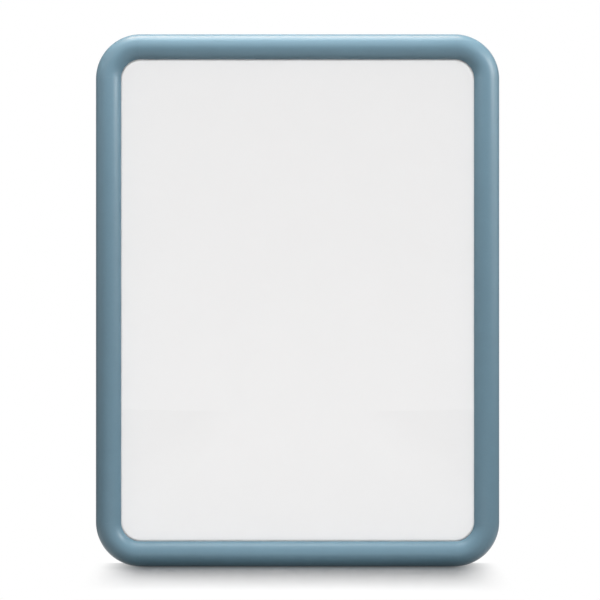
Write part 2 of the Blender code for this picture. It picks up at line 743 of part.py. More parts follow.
def make_lock(materials, axis):
    """A cam lock through the right side: body, nut, plug, cam and the screw that holds the cam."""
    at = Vector((DOOR_WIDTH / 2 - CASE_U, -LOCK_SETBACK, 0))
    inward = -pi / 2
    bore = PLUG_RADIUS + SEAT_GAP
    body = [
        (bore, -SEAT_GAP - LOCK_HEAD),
        (LOCK_HEAD_RADIUS - LOCK_HEAD_EDGE, -SEAT_GAP - LOCK_HEAD),
        (LOCK_HEAD_RADIUS, -SEAT_GAP - LOCK_HEAD + LOCK_HEAD_EDGE),
        (LOCK_HEAD_RADIUS, -SEAT_GAP),
        (LOCK_RADIUS, -SEAT_GAP),
        (LOCK_RADIUS, LOCK_LENGTH),
        (bore, LOCK_LENGTH),
    ]
    add_object("lock_body", turned_mesh("lock_body", body, closed=True), materials["lock"], at, inward)

    hexagon = circle_loop(NUT_FLATS / 2 / cos(pi / 6), 6)
    hole = circle_loop(LOCK_RADIUS + SEAT_GAP, ROUND_STEPS)
    low = CASE_WEB + SEAT_GAP
    nut = upright_mesh("lock_nut", [hexagon, hole], low, low + NUT_THICKNESS)
    add_object("lock_nut", nut, materials["steel"], at, inward)

    face = -SEAT_GAP - LOCK_HEAD + PLUG_RECESS
    square = PLUG_SQUARE / 2
    profile = [(0, face), (PLUG_RADIUS, face), (PLUG_RADIUS, LOCK_LENGTH), (0, LOCK_LENGTH)]
    plug_mesh = turned_mesh("lock_plug", profile)
    plug = add_object("lock_plug", plug_mesh, materials["lock"], at, inward, axis)
    tail_end = CAM_U - CASE_U + CAM_THICKNESS
    tail_loop = box_loop((-square, -square), (square, square))
    tail = upright_mesh("lock_plug_tail", [tail_loop], LOCK_LENGTH - OVERRUN, tail_end)
    join(plug, "lock_plug_tail", tail, at, inward)
    half_height, half_width = KEYWAY_HEIGHT / 2, KEYWAY_WIDTH / 2
    slot = box_loop((-half_height, -half_width), (half_height, half_width))
    cut(plug, "keyway", upright_mesh("keyway", [slot], face - OVERRUN, face + KEYWAY_DEPTH), at, inward)

    hub_radii = (CAM_HUB_RADIUS, CAM_HUB_RADIUS)
    hub = arc((0, 0), hub_radii, -CAM_SHOULDER, pi + CAM_SHOULDER, SMALL_ROUND_STEPS)
    tip_centre = -(CAM_REACH - CAM_WIDTH / 2)
    tip = arc((0, tip_centre), (CAM_WIDTH / 2, CAM_WIDTH / 2), pi, 2 * pi, PLATE_STEPS)
    eye_half = square + SEAT_GAP
    eye = box_loop((-eye_half, -eye_half), (eye_half, eye_half))
    low = CAM_U - CASE_U
    cam = upright_mesh("lock_cam", [hub + tip, eye], low, low + CAM_THICKNESS)
    add_object("lock_cam", cam, materials["steel"], at, inward, axis)

    low = tail_end + SEAT_GAP
    screw = [
        (0, low),
        (CAM_SCREW_RADIUS, low),
        (CAM_SCREW_RADIUS, low + CAM_SCREW_HEAD / 2),
        (CAM_SCREW_RADIUS * CAM_SCREW_TOP_SHARE, low + CAM_SCREW_HEAD),
        (0, low + CAM_SCREW_HEAD),
    ]
    screw_mesh = turned_mesh("cam_screw", screw, SMALL_ROUND_STEPS)
    add_object("cam_screw", screw_mesh, materials["steel"], at, inward, axis)


def upright_mesh(name, loops, low, high):
    """Loops in x and y raised along z."""
    return swept_mesh(name, loops, [lambda x, y: (x, y, low), lambda x, y: (x, y, high)])


def join(obj, name, mesh, location, turn):
    """Joins a mesh to an object with a Boolean that stays live."""
    cut(obj, name, mesh, location, turn)
    obj.modifiers[name].operation = "UNION"


def make_bumpers(material):
    """Two pads on the case's front edge, which the closed door rests against."""
    u = CASE_U + CASE_WEB / 2
    height = DOOR_STRAIGHT_Z / 2 - BUMPER_INSET
    for side, z in (("top", height), ("bottom", -height)):
        profile = solid_profile(BUMPER_RADIUS, LEAF_THICKNESS)
        mesh = turned_mesh("door_bumper", profile, SMALL_ROUND_STEPS)
        mesh.transform(rotation_to_wall())
        place = (DOOR_WIDTH / 2 - u, -CASE_DEPTH - SEAT_GAP, z)
        add_object("door_bumper_" + side, mesh, material, place)


def build():
    """The whole board."""
    clear_scene()
    materials = make_materials()
    hinge_axis = add_axis("door_hinge_axis", (-DOOR_WIDTH / 2 + AXIS_U, -AXIS_V, 0))
    lock_axis = add_axis("lock_axis", (DOOR_WIDTH / 2 - CASE_U, -LOCK_SETBACK, 0))
    make_case(materials)
    make_tack_panel(materials)
    make_hangers(materials["steel"])
    make_bumpers(materials["rubber"])
    make_hinge(materials["steel"], hinge_axis)
    make_door(materials, hinge_axis)
    make_lock(materials, lock_axis)


build()
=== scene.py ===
from math import asin, cos, pi, radians, sin, sqrt

import bmesh
import bpy
import numpy as np
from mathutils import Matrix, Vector
from mathutils.geometry import tessellate_polygon


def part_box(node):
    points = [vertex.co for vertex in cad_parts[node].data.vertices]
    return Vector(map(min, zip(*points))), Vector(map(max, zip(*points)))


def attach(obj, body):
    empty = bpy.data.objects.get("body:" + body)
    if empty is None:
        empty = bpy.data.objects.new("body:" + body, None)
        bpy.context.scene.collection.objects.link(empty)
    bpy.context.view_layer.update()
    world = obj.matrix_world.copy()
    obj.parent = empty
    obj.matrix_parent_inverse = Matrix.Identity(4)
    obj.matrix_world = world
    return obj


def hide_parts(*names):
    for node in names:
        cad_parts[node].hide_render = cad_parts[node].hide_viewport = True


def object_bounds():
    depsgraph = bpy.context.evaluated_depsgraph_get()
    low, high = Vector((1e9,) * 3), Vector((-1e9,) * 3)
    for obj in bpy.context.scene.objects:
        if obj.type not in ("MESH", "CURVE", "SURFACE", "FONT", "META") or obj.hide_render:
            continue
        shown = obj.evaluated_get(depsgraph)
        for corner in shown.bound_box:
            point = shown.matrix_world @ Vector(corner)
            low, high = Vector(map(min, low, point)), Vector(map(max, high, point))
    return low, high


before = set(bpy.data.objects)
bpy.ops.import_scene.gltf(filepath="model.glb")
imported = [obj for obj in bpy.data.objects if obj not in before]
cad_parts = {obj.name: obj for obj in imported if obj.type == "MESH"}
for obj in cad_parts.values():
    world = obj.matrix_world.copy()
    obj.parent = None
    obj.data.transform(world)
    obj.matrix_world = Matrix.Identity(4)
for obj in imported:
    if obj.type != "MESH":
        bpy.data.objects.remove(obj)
cadLow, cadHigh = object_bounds()

mm = 0.001
across = np.array((1.0, 0, 0))  # to the right, seen from the front
up = np.array((0, 0, 1.0))
forward = np.array((0, -1.0, 0))  # out of the wall, towards the viewer
seatGap = 0.3 * mm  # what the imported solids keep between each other
seam = 0.03 * mm  # what shows between a rail's end and its corner
weld = 0.0008 * mm  # points nearer than this become one


# The board's measures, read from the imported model

def nodeBox(node):
    low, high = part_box(node)
    return np.array(low), np.array(high)


def middle(node):
    return sum(nodeBox(node)) / 2


railLow, railHigh = nodeBox("door_rail_top")
caseLow, caseHigh = nodeBox("case_rail_top")
glassLow, glassHigh = nodeBox("glazing")

board = {
    "halfWidth": cadHigh.x,
    "halfHeight": cadHigh.z,
    "radius": cadHigh.x - railHigh[0] - seatGap,  # of the outer corners
    "face": railHigh[2] - railLow[2],
    "doorBack": -railHigh[1],
    "crest": -railLow[1],
    "lipBack": seatGap - nodeBox("glazing_gasket")[0][1],
    "caseSetback": cadHigh.z - caseHigh[2],
    "caseDepth": -caseLow[1],
}
print("board: %.1f by %.1f mm" % (2000 * board["halfWidth"], 2000 * board["halfHeight"]))


# Sections and loops, as arrays of points

def arc(centre, radii, start, end, steps):
    # centre plus the radii times cosine and sine of evenly spaced angles, both ends included
    wide, tall = radii if isinstance(radii, tuple) else (radii, radii)
    angle = np.linspace(start, end, steps + 1)
    return np.column_stack((centre[0] + wide * np.cos(angle), centre[1] + tall * np.sin(angle)))


def ring(radius, steps):
    # the radius is one number, or an array with one for each step
    return arc((0, 0), radius, 0, 2 * pi * (steps - 1) / steps, steps - 1)


def rings(profile, steps):
    # a ring for each radius and height of a profile
    return [(ring(radius, steps), height) for radius, height in profile]


def rectangle(lowA, lowB, highA, highB):
    # four corners, once round
    return np.array(((lowA, lowB), (highA, lowB), (highA, highB), (lowA, highB)))


def softened(corners, radii, steps):
    # each corner is cut back by its radius along both sides and bridged by a quadratic curve
    corners = np.asarray(corners, float)
    before = np.roll(corners, 1, axis=0) - corners
    after = np.roll(corners, -1, axis=0) - corners
    beforeLength, afterLength = (np.linalg.norm(side, axis=1)[:, None] for side in (before, after))
    mostShare = 0.45  # of a side, that a corner may take
    reach = np.minimum(np.minimum(beforeLength, afterLength) * mostShare, np.reshape(radii, (-1, 1)))
    first = corners + before / beforeLength * reach
    last = corners + after / afterLength * reach
    t = np.linspace(0, 1, steps + 1)[None, :, None]
    curve = first[:, None] * (1 - t) ** 2 + corners[:, None] * 2 * t * (1 - t) + last[:, None] * t ** 2
    return curve.reshape(-1, 2)


def pad(width, height, radius, steps):
    # a rectangle about the middle, its corners softened
    return softened(rectangle(-width / 2, -height / 2, width / 2, height / 2), radius, steps)


def roundedRectangle(halfX, halfZ, radius, steps):
    # four quarter circles, each about the middle of its corner's arc
    quarters = []
    for quarter, (sx, sz) in enumerate(((1, 1), (-1, 1), (-1, -1), (1, -1))):
        centre = (sx * (halfX - radius), sz * (halfZ - radius))
        quarters.append(arc(centre, radius, quarter * pi / 2, (quarter + 1) * pi / 2, steps))
    return np.vstack(quarters)


# Ways of taking a section or loop into space

def carried(section, start, inward):
    # every point of the section at every station: start plus u inward plus v forward
    return start[:, None] + section[None, :, :1] * inward[:, None] + section[None, :, 1:] * forward


def around(base, axis, side):
    # a loop's two coordinates run along the side and square to it, its height along the axis
    other = np.cross(axis, side)

    def put(loop, height):
        return base + loop[:, :1] * side + loop[:, 1:] * other + height * axis

    return put


def onWall(loop, depth):
    # a loop of x and z at a distance from the wall
    return loop[:, :1] * across + loop[:, 1:] * up + depth * forward


# Meshes from grids of points

class Shell:
    # grids of points and flat caps that are merged into one closed mesh
    def __init__(self):
        self.points = []
        self.quads = []
        self.triangles = []
        self.count = 0

    def add(self, points):
        index = self.count + np.arange(len(points))
        self.points.append(points)
        self.count += len(points)
        return index

    def grid(self, points, closed=False, keep=None):
        # rows by columns by xyz: neighbouring rows and columns are joined by quads
        index = self.add(points.reshape(-1, 3)).reshape(points.shape[:2])
        if closed:
            index = np.hstack((index, index[:, :1]))
        cells = np.stack((index[:-1, :-1], index[1:, :-1], index[1:, 1:], index[:-1, 1:]), axis=-1)
        self.quads.append(cells[keep] if keep is not None else cells.reshape(-1, 4))

    def loft(self, put, layers):
        # a closed wall through loops at their heights, which put takes into space
        rows = np.array([put(loop, height) for loop, height in layers])
        self.grid(rows, closed=True)
        return rows

    def cap(self, loops, placed):
        # a flat face from loops of two coordinates, the later ones holes; placed are the same points in space
        index = self.add(np.vstack(placed))
        flat = [[Vector((p[0] / mm, p[1] / mm, 0)) for p in loop] for loop in loops]
        self.triangles.append(index[np.array(tessellate_polygon(flat))])

    def mesh(self, sharp=30):
        # doubles merged, faces turned outwards, smooth but for edges over the sharp angle
        made = bpy.data.meshes.new("shell")
        faces = [face for part in self.quads + self.triangles for face in part.tolist()]
        made.from_pydata(np.vstack(self.points).tolist(), [], faces)
        work = bmesh.new()
        work.from_mesh(made)
        bmesh.ops.remove_doubles(work, verts=work.verts, dist=weld)
        bmesh.ops.dissolve_degenerate(work, edges=work.edges, dist=weld / 8)
        bmesh.ops.recalc_face_normals(work, faces=work.faces)
        work.to_mesh(made)
        work.free()
        made.shade_smooth()
        made.set_sharp_from_angle(angle=radians(sharp))
        return made


def sweep(loops, start, inward):
    # a section's loops carried along a path and capped at its ends
    shell = Shell()
    placed = [carried(loop, start, inward) for loop in loops]
    for points in placed:
        shell.grid(points, closed=True)
    for end in (0, -1):
        shell.cap(loops, [points[end] for points in placed])
    return shell.mesh()


def turned(profile, steps, put, sharp=30):
    # radius and height of each profile point, carried round an axis
    shell = Shell()
    shell.loft(put, rings(profile, steps))
    return shell.mesh(sharp)


def drill(radius, reach, steps, put):
    # a cylinder to cut with, as far to either side of its base
    return turned(((0, -reach), (radius, -reach), (radius, reach), (0, reach)), steps, put)


def stack(layers, put, sharp=30):
    # layers of (loops, height): each loop joins its namesake in the next, and the end layers are capped
    shell = Shell()
    for k in range(len(layers[0][0])):
        shell.loft(put, [(loops[k], height) for loops, height in layers])
    for loops, height in (layers[0], layers[-1]):
        shell.cap(loops, [put(loop, height) for loop in loops])
    return shell.mesh(sharp)


def assign(thing, **settings):
    for key, value in settings.items():
        setattr(thing, key, value)
    return thing


def added(name, data):
    # a new object in the scene
    made = bpy.data.objects.new(name, data)
    bpy.context.scene.collection.objects.link(made)
    return made


def cutAway(mesh, cutter):
    # one mesh less another, by an exact Boolean that is applied at once
    body, tool = added("cutBody", mesh), added("cutTool", cutter)
    assign(body.modifiers.new("cut", "BOOLEAN"), operation="DIFFERENCE", object=tool, solver="EXACT")
    view = bpy.context.evaluated_depsgraph_get()
    result = bpy.data.meshes.new_from_object(body.evaluated_get(view))
    for each in (body, tool):
        bpy.data.objects.remove(each)
    return result


# Places round the board

sides = ("top", "right", "bottom", "left")
corners = ("top_right", "bottom_right", "bottom_left", "top_left")


def railPath(side, ends):
    # where a rail's outer edge runs, at distances along it from the middle, and its inward direction
    quarter = sides.index(side)
    outward = np.array((sin(quarter * pi / 2), 0, cos(quarter * pi / 2))).round()
    alongside = np.array((outward[2], 0, -outward[0]))
    reach = board["halfWidth"] if quarter % 2 else board["halfHeight"]
    start = outward * reach + np.asarray(ends)[:, None] * alongside
    return start, np.repeat(-outward[None], len(ends), axis=0)


def straightHalf(side):
    # half of the straight between two corners
    whole = board["halfHeight"] if sides.index(side) % 2 else board["halfWidth"]
    return whole - board["radius"]


def railMesh(side, loops, short=seam):
    # a section carried along a straight, and a little short of its ends
    half = straightHalf(side) - short
    return sweep(loops, *railPath(side, (-half, half)))


def quadrant(corner):
    # which way a corner lies from the middle, across and up
    return 1 if corner.endswith("right") else -1, 1 if corner.startswith("top") else -1


def cornerPath(corner, angles):
    # the outer edge round a corner, from its upper or lower end to its side end
    sx, sz = quadrant(corner)
    centre = np.array((sx * straightHalf("top"), 0, sz * straightHalf("left")))
    radial = np.column_stack((sx * np.sin(angles), np.zeros(len(angles)), sz * np.cos(angles)))
    return centre + board["radius"] * radial, -radial


def tongues(shell, outline, tongue, corner, reach):
    # closes a corner's ends and carries a tongue out of each, into the rails
    sx, sz = quadrant(corner)
    for angle, alongside in ((0, (-sx, 0, 0)), (pi / 2, (0, 0, -sz))):
        start, inward = cornerPath(corner, np.array((angle,)))
        starts = [start + np.multiply(alongside, out) for out in (0, reach)]
        walls = np.vstack([carried(tongue, each, inward) for each in starts])
        shell.cap([outline, tongue], [carried(outline, start, inward)[0], walls[0]])
        shell.grid(walls, closed=True)
        shell.cap([tongue], [walls[1]])


# Node helpers

def feed(tree, sockets, values):
    # links an output, or sets a constant straight on the socket
    for key, value in values.items():
        if isinstance(value, bpy.types.NodeSocket):
            tree.links.new(value, sockets[key])
        else:
            sockets[key].default_value = value


def place(tree, kind, inputs=None, **settings):
    # a node with its settings; an input is a value or another node's output
    node = assign(tree.nodes.new("ShaderNode" + kind), **settings)
    feed(tree, node.inputs, inputs or {})
    return node


def maths(tree, operation, first, second=0.0, clamp=False):
    return place(tree, "Math", {0: first, 1: second}, operation=operation, use_clamp=clamp).outputs[0]


def spread(tree, value, low, high, fromLow=0.0, fromHigh=1.0, course="LINEAR"):
    # the value's range is taken to another, low to high
    inputs = {"Value": value, "From Min": fromLow, "From Max": fromHigh, "To Min": low, "To Max": high}
    return place(tree, "MapRange", inputs, clamp=True, interpolation_type=course).outputs["Result"]


def mixed(tree, factor, first, second):
    return place(tree, "Mix", {0: factor, 6: first, 7: second}, data_type="RGBA").outputs[2]


def blended(tree, factor, first, second):
    return place(tree, "Mix", {0: factor, 2: first, 3: second}, data_type="FLOAT").outputs[0]


def noise(tree, point, scale, detail, roughness=0.5):
    inputs = {"Vector": point, "Scale": scale, "Detail": detail, "Roughness": roughness}
    return place(tree, "TexNoise", inputs).outputs


def relief(tree, strength, depth, height):
    inputs = {"Strength": strength, "Distance": depth, "Height": height}
    return place(tree, "Bump", inputs).outputs["Normal"]


def objectPoint(tree, stretch=(1.0, 1.0, 1.0)):
    point = place(tree, "TexCoord").outputs["Object"]
    return place(tree, "VectorMath", {0: point, 1: stretch}, operation="MULTIPLY").outputs["Vector"]


def rays(tree, operation, first, *others):
    # one for the first kind of ray, with the others added or taken off
    path = place(tree, "LightPath").outputs
    found = path["Is %s Ray" % first]
    for kind in others:
        found = maths(tree, operation, found, path["Is %s Ray" % kind], clamp=True)
    return found


def newGroup(name, inputs, outputs):
    # a shader group with named inputs and their defaults, and outputs that are values but for a normal
    group = bpy.data.node_groups.new(name, "ShaderNodeTree")
    for label, default in inputs.items():
        kind = "NodeSocketVector" if isinstance(default, tuple) else "NodeSocketFloat"
        group.interface.new_socket(label, in_out="INPUT", socket_type=kind).default_value = default
    for label in outputs:
        kind = "NodeSocketVector" if label == "Normal" else "NodeSocketFloat"
        group.interface.new_socket(label, in_out="OUTPUT", socket_type=kind)
    return group, group.nodes.new("NodeGroupInput").outputs, group.nodes.new("NodeGroupOutput").inputs


def makeMottleGroup():
    # soft cloudy unevenness of a coating: two noises of unlike size, around one half
    inputs = {"Size": 40.0, "Fine Size": 260.0, "Fine Share": 0.35}
    group, given, result = newGroup("softMottle", inputs, ("Mottle",))
    point = objectPoint(group)
    broad = noise(group, point, given["Size"], 3.0, 0.55)["Fac"]
    fine = noise(group, point, given["Fine Size"], 2.0)["Fac"]
    feed(group, result, {"Mottle": blended(group, given["Fine Share"], broad, fine)})
    return group


def makeSkinGroup(name, detail, roughness, inputs):
    # a sprayed or moulded skin, or marks drawn out along one direction: a noise and its relief as a normal
    group, given, result = newGroup(name, inputs, ("Marks", "Normal"))
    marks = noise(group, objectPoint(group, given["Stretch"]), given["Scale"], detail, roughness)["Fac"]
    feed(group, result, {"Marks": marks, "Normal": relief(group, given["Strength"], given["Depth"], marks)})
    return group


def makeFleckGroup():
    # granules or chips: cells with a tone each and a groove between them, their edges a little wavy
    inputs = {"Scale": 420.0, "Groove": 0.12, "Depth": 0.0003, "Strength": 0.6}
    group, given, result = newGroup("granules", inputs, ("Tone", "Groove Mask", "Normal"))
    point = objectPoint(group)
    wobble = noise(group, point, given["Scale"], 2.0)["Color"]
    shift = place(group, "VectorMath", {0: wobble, "Scale": 1.2 * mm}, operation="SCALE").outputs["Vector"]
    moved = place(group, "VectorMath", {0: point, 1: shift}, operation="ADD").outputs["Vector"]
    inputs = {"Vector": moved, "Scale": given["Scale"]}
    cells = place(group, "TexVoronoi", inputs, feature="F1").outputs["Color"]
    edges = place(group, "TexVoronoi", inputs, feature="DISTANCE_TO_EDGE").outputs["Distance"]
    tone = place(group, "SeparateColor", {"Color": cells}).outputs[0]
    mask = spread(group, edges, 1.0, 0.0, 0.0, given["Groove"])
    height = maths(group, "SUBTRACT", maths(group, "MULTIPLY", tone, 0.5), mask)
    normal = relief(group, given["Strength"], given["Depth"], height)
    feed(group, result, {"Tone": tone, "Groove Mask": mask, "Normal": normal})
    return group


groups = {
    "mottle": makeMottleGroup(),
    "skin": makeSkinGroup("fineSkin", 2.5, 0.55, {
        "Scale": 900.0, "Depth": 0.00002, "Strength": 0.3, "Stretch": (1.0, 1.0, 1.0)}),
    "brush": makeSkinGroup("toolMarks", 5.0, 0.65, {
        "Scale": 600.0, "Depth": 0.00001, "Strength": 0.25, "Stretch": (1.0, 1.0, 0.03)}),
    "fleck": makeFleckGroup(),
}


def useGroup(tree, key, *values):
    # the values go to the group's inputs in their order
    return place(tree, "Group", dict(enumerate(values)), node_tree=groups[key]).outputs


def newMaterial(name, make, look):
    # make lays out the look's nodes and returns what goes into the surface shader's sockets
    material = bpy.data.materials.new(name)
    material.use_nodes = True
    tree = material.node_tree
    feed(tree, tree.nodes["Principled BSDF"].inputs, make(tree, look))
    return material


def overlaid(tree, factor, shader):
    # another shader takes the place of the material's own where the factor is one
    own = tree.nodes["Principled BSDF"].outputs["BSDF"]
    mix = place(tree, "MixShader", {0: factor, 1: own, 2: shader}).outputs["Shader"]
    feed(tree, tree.nodes["Material Output"].inputs, {"Surface": mix})


def shades(tree, tone, colour, darker, lighter, span):
    # one colour between two gains, as the tone runs through its span
    ends = [(*(part * gain for part in colour), 1.0) for gain in (darker, lighter)]
    return mixed(tree, spread(tree, tone, 0.0, 1.0, *span), *ends)


# Coatings; a span is where most of the values of a mottle or of marks lie

def coating(tree, look):
    # satin colour with a soft mottle, a fine skin and a roughness that follows the mottle
    mottle = useGroup(tree, "mottle", *look["mottle"])["Mottle"]
    swing, rough, roughSwing = look["swing"], look["roughness"], look["roughSwing"]
    return {
        "Base Color": shades(tree, mottle, look["colour"], 1 - swing, 1 + swing, look["span"]),
        "Roughness": spread(tree, mottle, rough - roughSwing, rough + roughSwing, *look["span"]),
        "Normal": useGroup(tree, "skin", *look["skin"])["Normal"],
        "IOR": look["ior"],
        "Coat Weight": look["coat"],
        "Coat Roughness": look["coatRoughness"],
    }


framePaint = {
    "colour": (0.140, 0.252, 0.324),
    "swing": 0.035,
    "mottle": (55.0, 420.0, 0.4),  # the broad and the fine scale, and the fine one's share
    "span": (0.3, 0.7),
    "roughness": 0.42,
    "roughSwing": 0.04,
    "skin": (1400.0, 0.00002, 0.35),  # scale, depth and strength
    "ior": 1.5,
    "coat": 0.35,  # the clear lacquer over the colour
    "coatRoughness": 0.18,
}
cornerPlastic = dict(framePaint, mottle=(38.0, 420.0, 0.4), skin=(1700.0, 0.00002, 0.35), roughness=0.40)
casePaint = dict(framePaint, colour=(0.128, 0.215, 0.280), roughness=0.46)
casePlastic = dict(cornerPlastic, colour=(0.126, 0.212, 0.277), skin=(1700.0, 0.00002, 0.5), roughness=0.48)
beadVinyl = dict(framePaint, colour=(0.112, 0.195, 0.255), skin=(2200.0, 0.00002, 0.35), roughness=0.5,
                 coat=0.0)
bumperRubber = dict(framePaint, colour=(0.16, 0.16, 0.165), skin=(2600.0, 0.00002, 0.6), roughness=0.75,
                    swing=0.08, coat=0.0)
facingVinyl = dict(framePaint, colour=(0.843, 0.837, 0.836), swing=0.008, mottle=(18.0, 900.0, 0.6),
                   skin=(1900.0, 0.00004, 0.3), roughness=0.62, roughSwing=0.03, ior=1.45, coat=0.0)


# Foam, metal, cork, board and acrylic

def foamTape(tree, look):
    # a soft tape whose pores are the grooves between its cells, painted darker as shade in them
    pores = useGroup(tree, "fleck", *look["pores"])
    # painted shade: the colour darkens in the pores
    colour = shades(tree, pores["Groove Mask"], look["colour"], 1.0, look["poreShade"], (0.0, 1.0))
    return {"Base Color": colour, "Roughness": look["roughness"], "Normal": pores["Normal"]}


foamSeal = {
    "colour": (0.5, 0.51, 0.52),
    "pores": (1500.0, 0.25, 0.00015, 0.7),  # scale, groove, depth and strength
    # the gain of the colour in the pores: painted shade
    "poreShade": 0.72,
    "roughness": 0.85,
}


def metal(tree, look):
    # plated metal with drawn or turned marks in its tone, roughness and relief
    marks = useGroup(tree, "brush", *look["marks"])
    cloud = useGroup(tree, "mottle", *look["cloud"])["Mottle"]
    tone = blended(tree, look["cloudShare"], marks["Marks"], cloud)
    return {
        "Base Color": shades(tree, tone, look["colour"], *look["gains"], look["span"]),
        "Roughness": spread(tree, tone, *look["roughness"], *look["roughSpan"]),
        "Metallic": 1.0,
        "Normal": marks["Normal"],
    }


zincSteel = {
    "colour": (0.60, 0.60, 0.585),
    "marks": (900.0, 0.00002, 0.3, (1.0, 1.0, 0.04)),  # scale, depth, strength and stretch
    "cloud": (120.0, 800.0, 0.3),
    "cloudShare": 0.4,
    "gains": (0.88, 1.06),
    "span": (0.35, 0.65),
    "roughness": (0.44, 0.31),
    "roughSpan": (0.3, 0.7),
}
nickelPlate = dict(zincSteel, colour=(0.68, 0.655, 0.61), marks=(1500.0, 0.00001, 0.2, (0.05, 1.0, 1.0)),
                   roughness=(0.28, 0.15))


def corkBoard(tree, look):
    # pressed granules of several browns, with dark binder in the grooves between them
    grains = useGroup(tree, "fleck", *look["grains"])
    cloud = useGroup(tree, "mottle", *look["cloud"])["Mottle"]
    plain = mixed(tree, grains["Tone"], look["dark"], look["light"])
    worked = mixed(tree, spread(tree, cloud, 0.0, look["warmShare"], *look["span"]), plain, look["warm"])
    groove = maths(tree, "MULTIPLY", grains["Groove Mask"], look["binderShare"])
    colour = mixed(tree, groove, worked, look["binder"])
    return {"Base Color": colour, "Roughness": look["roughness"], "Normal": grains["Normal"]}


naturalCork = {
    "grains": (430.0, 0.1, 0.0003, 0.6),  # scale, groove, depth and strength
    "cloud": (300.0, 1500.0, 0.5),
    "span": (0.35, 0.65),
    "dark": (0.24, 0.125, 0.055, 1),
    "light": (0.58, 0.38, 0.21, 1),
    "warm": (0.46, 0.27, 0.13, 1),
    "warmShare": 0.5,
    "binder": (0.10, 0.05, 0.02, 1),
    "binderShare": 0.75,
    "roughness": 0.92,
}


def pressedFibre(tree, look):
    # fibres laid both ways in the sheet, with a few darker chips
    level, upright = (useGroup(tree, "brush", *look[way]) for way in ("level", "upright"))
    tone = blended(tree, 0.5, level["Marks"], upright["Marks"])
    colour = mixed(tree, spread(tree, tone, 0.0, 1.0, *look["span"]), look["dark"], look["light"])
    inputs = {"Vector": objectPoint(tree, look["chipStretch"]), "Scale": look["chipScale"]}
    chips = place(tree, "TexVoronoi", inputs).outputs["Distance"]
    share, reach = look["chipShare"]
    colour = mixed(tree, spread(tree, chips, share, 0.0, 0.0, reach), colour, look["chip"])
    normal = level["Normal"]
    if "screen" in look:
        # the woven print that the press leaves on the sheet's back: two waves at right angles
        inputs = {"Vector": objectPoint(tree), "Scale": look["screen"], "Distortion": 0.4,
                  "Detail": 1.0, "Detail Scale": 0.3}
        waves = [place(tree, "TexWave", inputs, bands_direction=axis).outputs["Fac"] for axis in "XZ"]
        weave = maths(tree, "MULTIPLY", *waves)
        share, reach = look["weaveShare"]
        colour = mixed(tree, spread(tree, weave, share, 0.0, 0.0, reach), colour, look["chip"])
        height = maths(tree, "ADD", weave, maths(tree, "MULTIPLY", tone, look["fibreHeight"]))
        normal = relief(tree, *look["weaveRelief"], height)
    return {"Base Color": colour, "Roughness": look["roughness"], "Normal": normal}


fibreboard = {
    "level": (700.0, 0.0001, 0.5, (0.16, 1.0, 1.0)),  # scale, depth, strength and stretch
    "upright": (560.0, 0.0001, 0.5, (1.0, 1.0, 0.16)),
    "span": (0.36, 0.64),
    "dark": (0.33, 0.31, 0.275, 1),
    "light": (0.47, 0.45, 0.41, 1),
    "chip": (0.25, 0.235, 0.21, 1),
    "chipScale": 420.0,
    "chipStretch": (1.0, 1.0, 0.5),
    "chipShare": (0.5, 0.35),  # at a chip's middle, and where it has faded out
    "roughness": 0.95,
}
hardboard = dict(
    fibreboard,
    level=(500.0, 0.00006, 0.5, (0.16, 1.0, 1.0)),
    upright=(400.0, 0.00006, 0.5, (1.0, 1.0, 0.16)),
    dark=(0.15, 0.078, 0.038, 1),
    light=(0.30, 0.175, 0.092, 1),
    chip=(0.10, 0.05, 0.024, 1),
    chipScale=260.0,
    screen=130.0,
    weaveShare=(0.25, 0.5),
    weaveRelief=(0.7, 0.00018),  # strength and depth
    fibreHeight=0.4,
    roughness=0.72,
)


def clearSheet(tree, look):
    # clear acrylic: light that only passes through to light the facing isn't bent
    handling = useGroup(tree, "mottle", *look["handling"])["Mottle"]
    through = place(tree, "BsdfTransparent", {"Color": look["passing"]}).outputs["BSDF"]
    overlaid(tree, rays(tree, "ADD", "Shadow", "Diffuse"), through)
    rough = spread(tree, handling, 0.0, look["haze"], *look["span"])
    return {"Base Color": look["tint"], "Roughness": rough, "IOR": look["ior"], "Transmission Weight": 1.0}


acrylic = {
    "tint": (1.0, 1.0, 1.0, 1),
    "handling": (9.0, 60.0, 0.3),
    "span": (0.45, 0.75),
    "haze": 0.02,
    "ior": 1.49,
    "passing": (0.97, 0.97, 0.97, 1),
}

finishes = {
    "frame_paint": newMaterial("dustyBlueCoating", coating, framePaint),
    "corner_plastic": newMaterial("dustyBlueMoulding", coating, cornerPlastic),
    "case_paint": newMaterial("caseCoating", coating, casePaint),
    "case_plastic": newMaterial("caseMoulding", coating, casePlastic),
    "facing": newMaterial("paleVinylFacing", coating, facingVinyl),
    "cork": newMaterial("granulatedCork", corkBoard, naturalCork),
    "fibreboard": newMaterial("greyFibreboard", pressedFibre, fibreboard),
    "hardboard": newMaterial("pressedHardboard", pressedFibre, hardboard),
    "acrylic": newMaterial("clearAcrylic", clearSheet, acrylic),
    "seal": newMaterial("greyFoamTape", foamTape, foamSeal),
    "bead": newMaterial("blueVinylBead", coating, beadVinyl),
    "zinc_steel": newMaterial("zincPlatedSteel", metal, zincSteel),
    "nickel": newMaterial("nickelPlate", metal, nickelPlate),
    "bumper": newMaterial("greyRubber", coating, bumperRubber),
}
print("materials: %d finishes" % len(finishes))


def present(name, mesh, body, slot, node=None, bevel=0.0):
    # one finished piece: its finish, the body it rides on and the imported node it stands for
    mesh.name = name
    mesh.materials.clear()
    mesh.materials.append(finishes[slot])
    piece = added(name, mesh)
    if bevel:
        assign(piece.modifiers.new("edges", "BEVEL"), width=bevel, segments=2, limit_method="ANGLE",
               angle_limit=radians(40))
    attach(piece, body)
    if node:
        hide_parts(node)


# Door frame

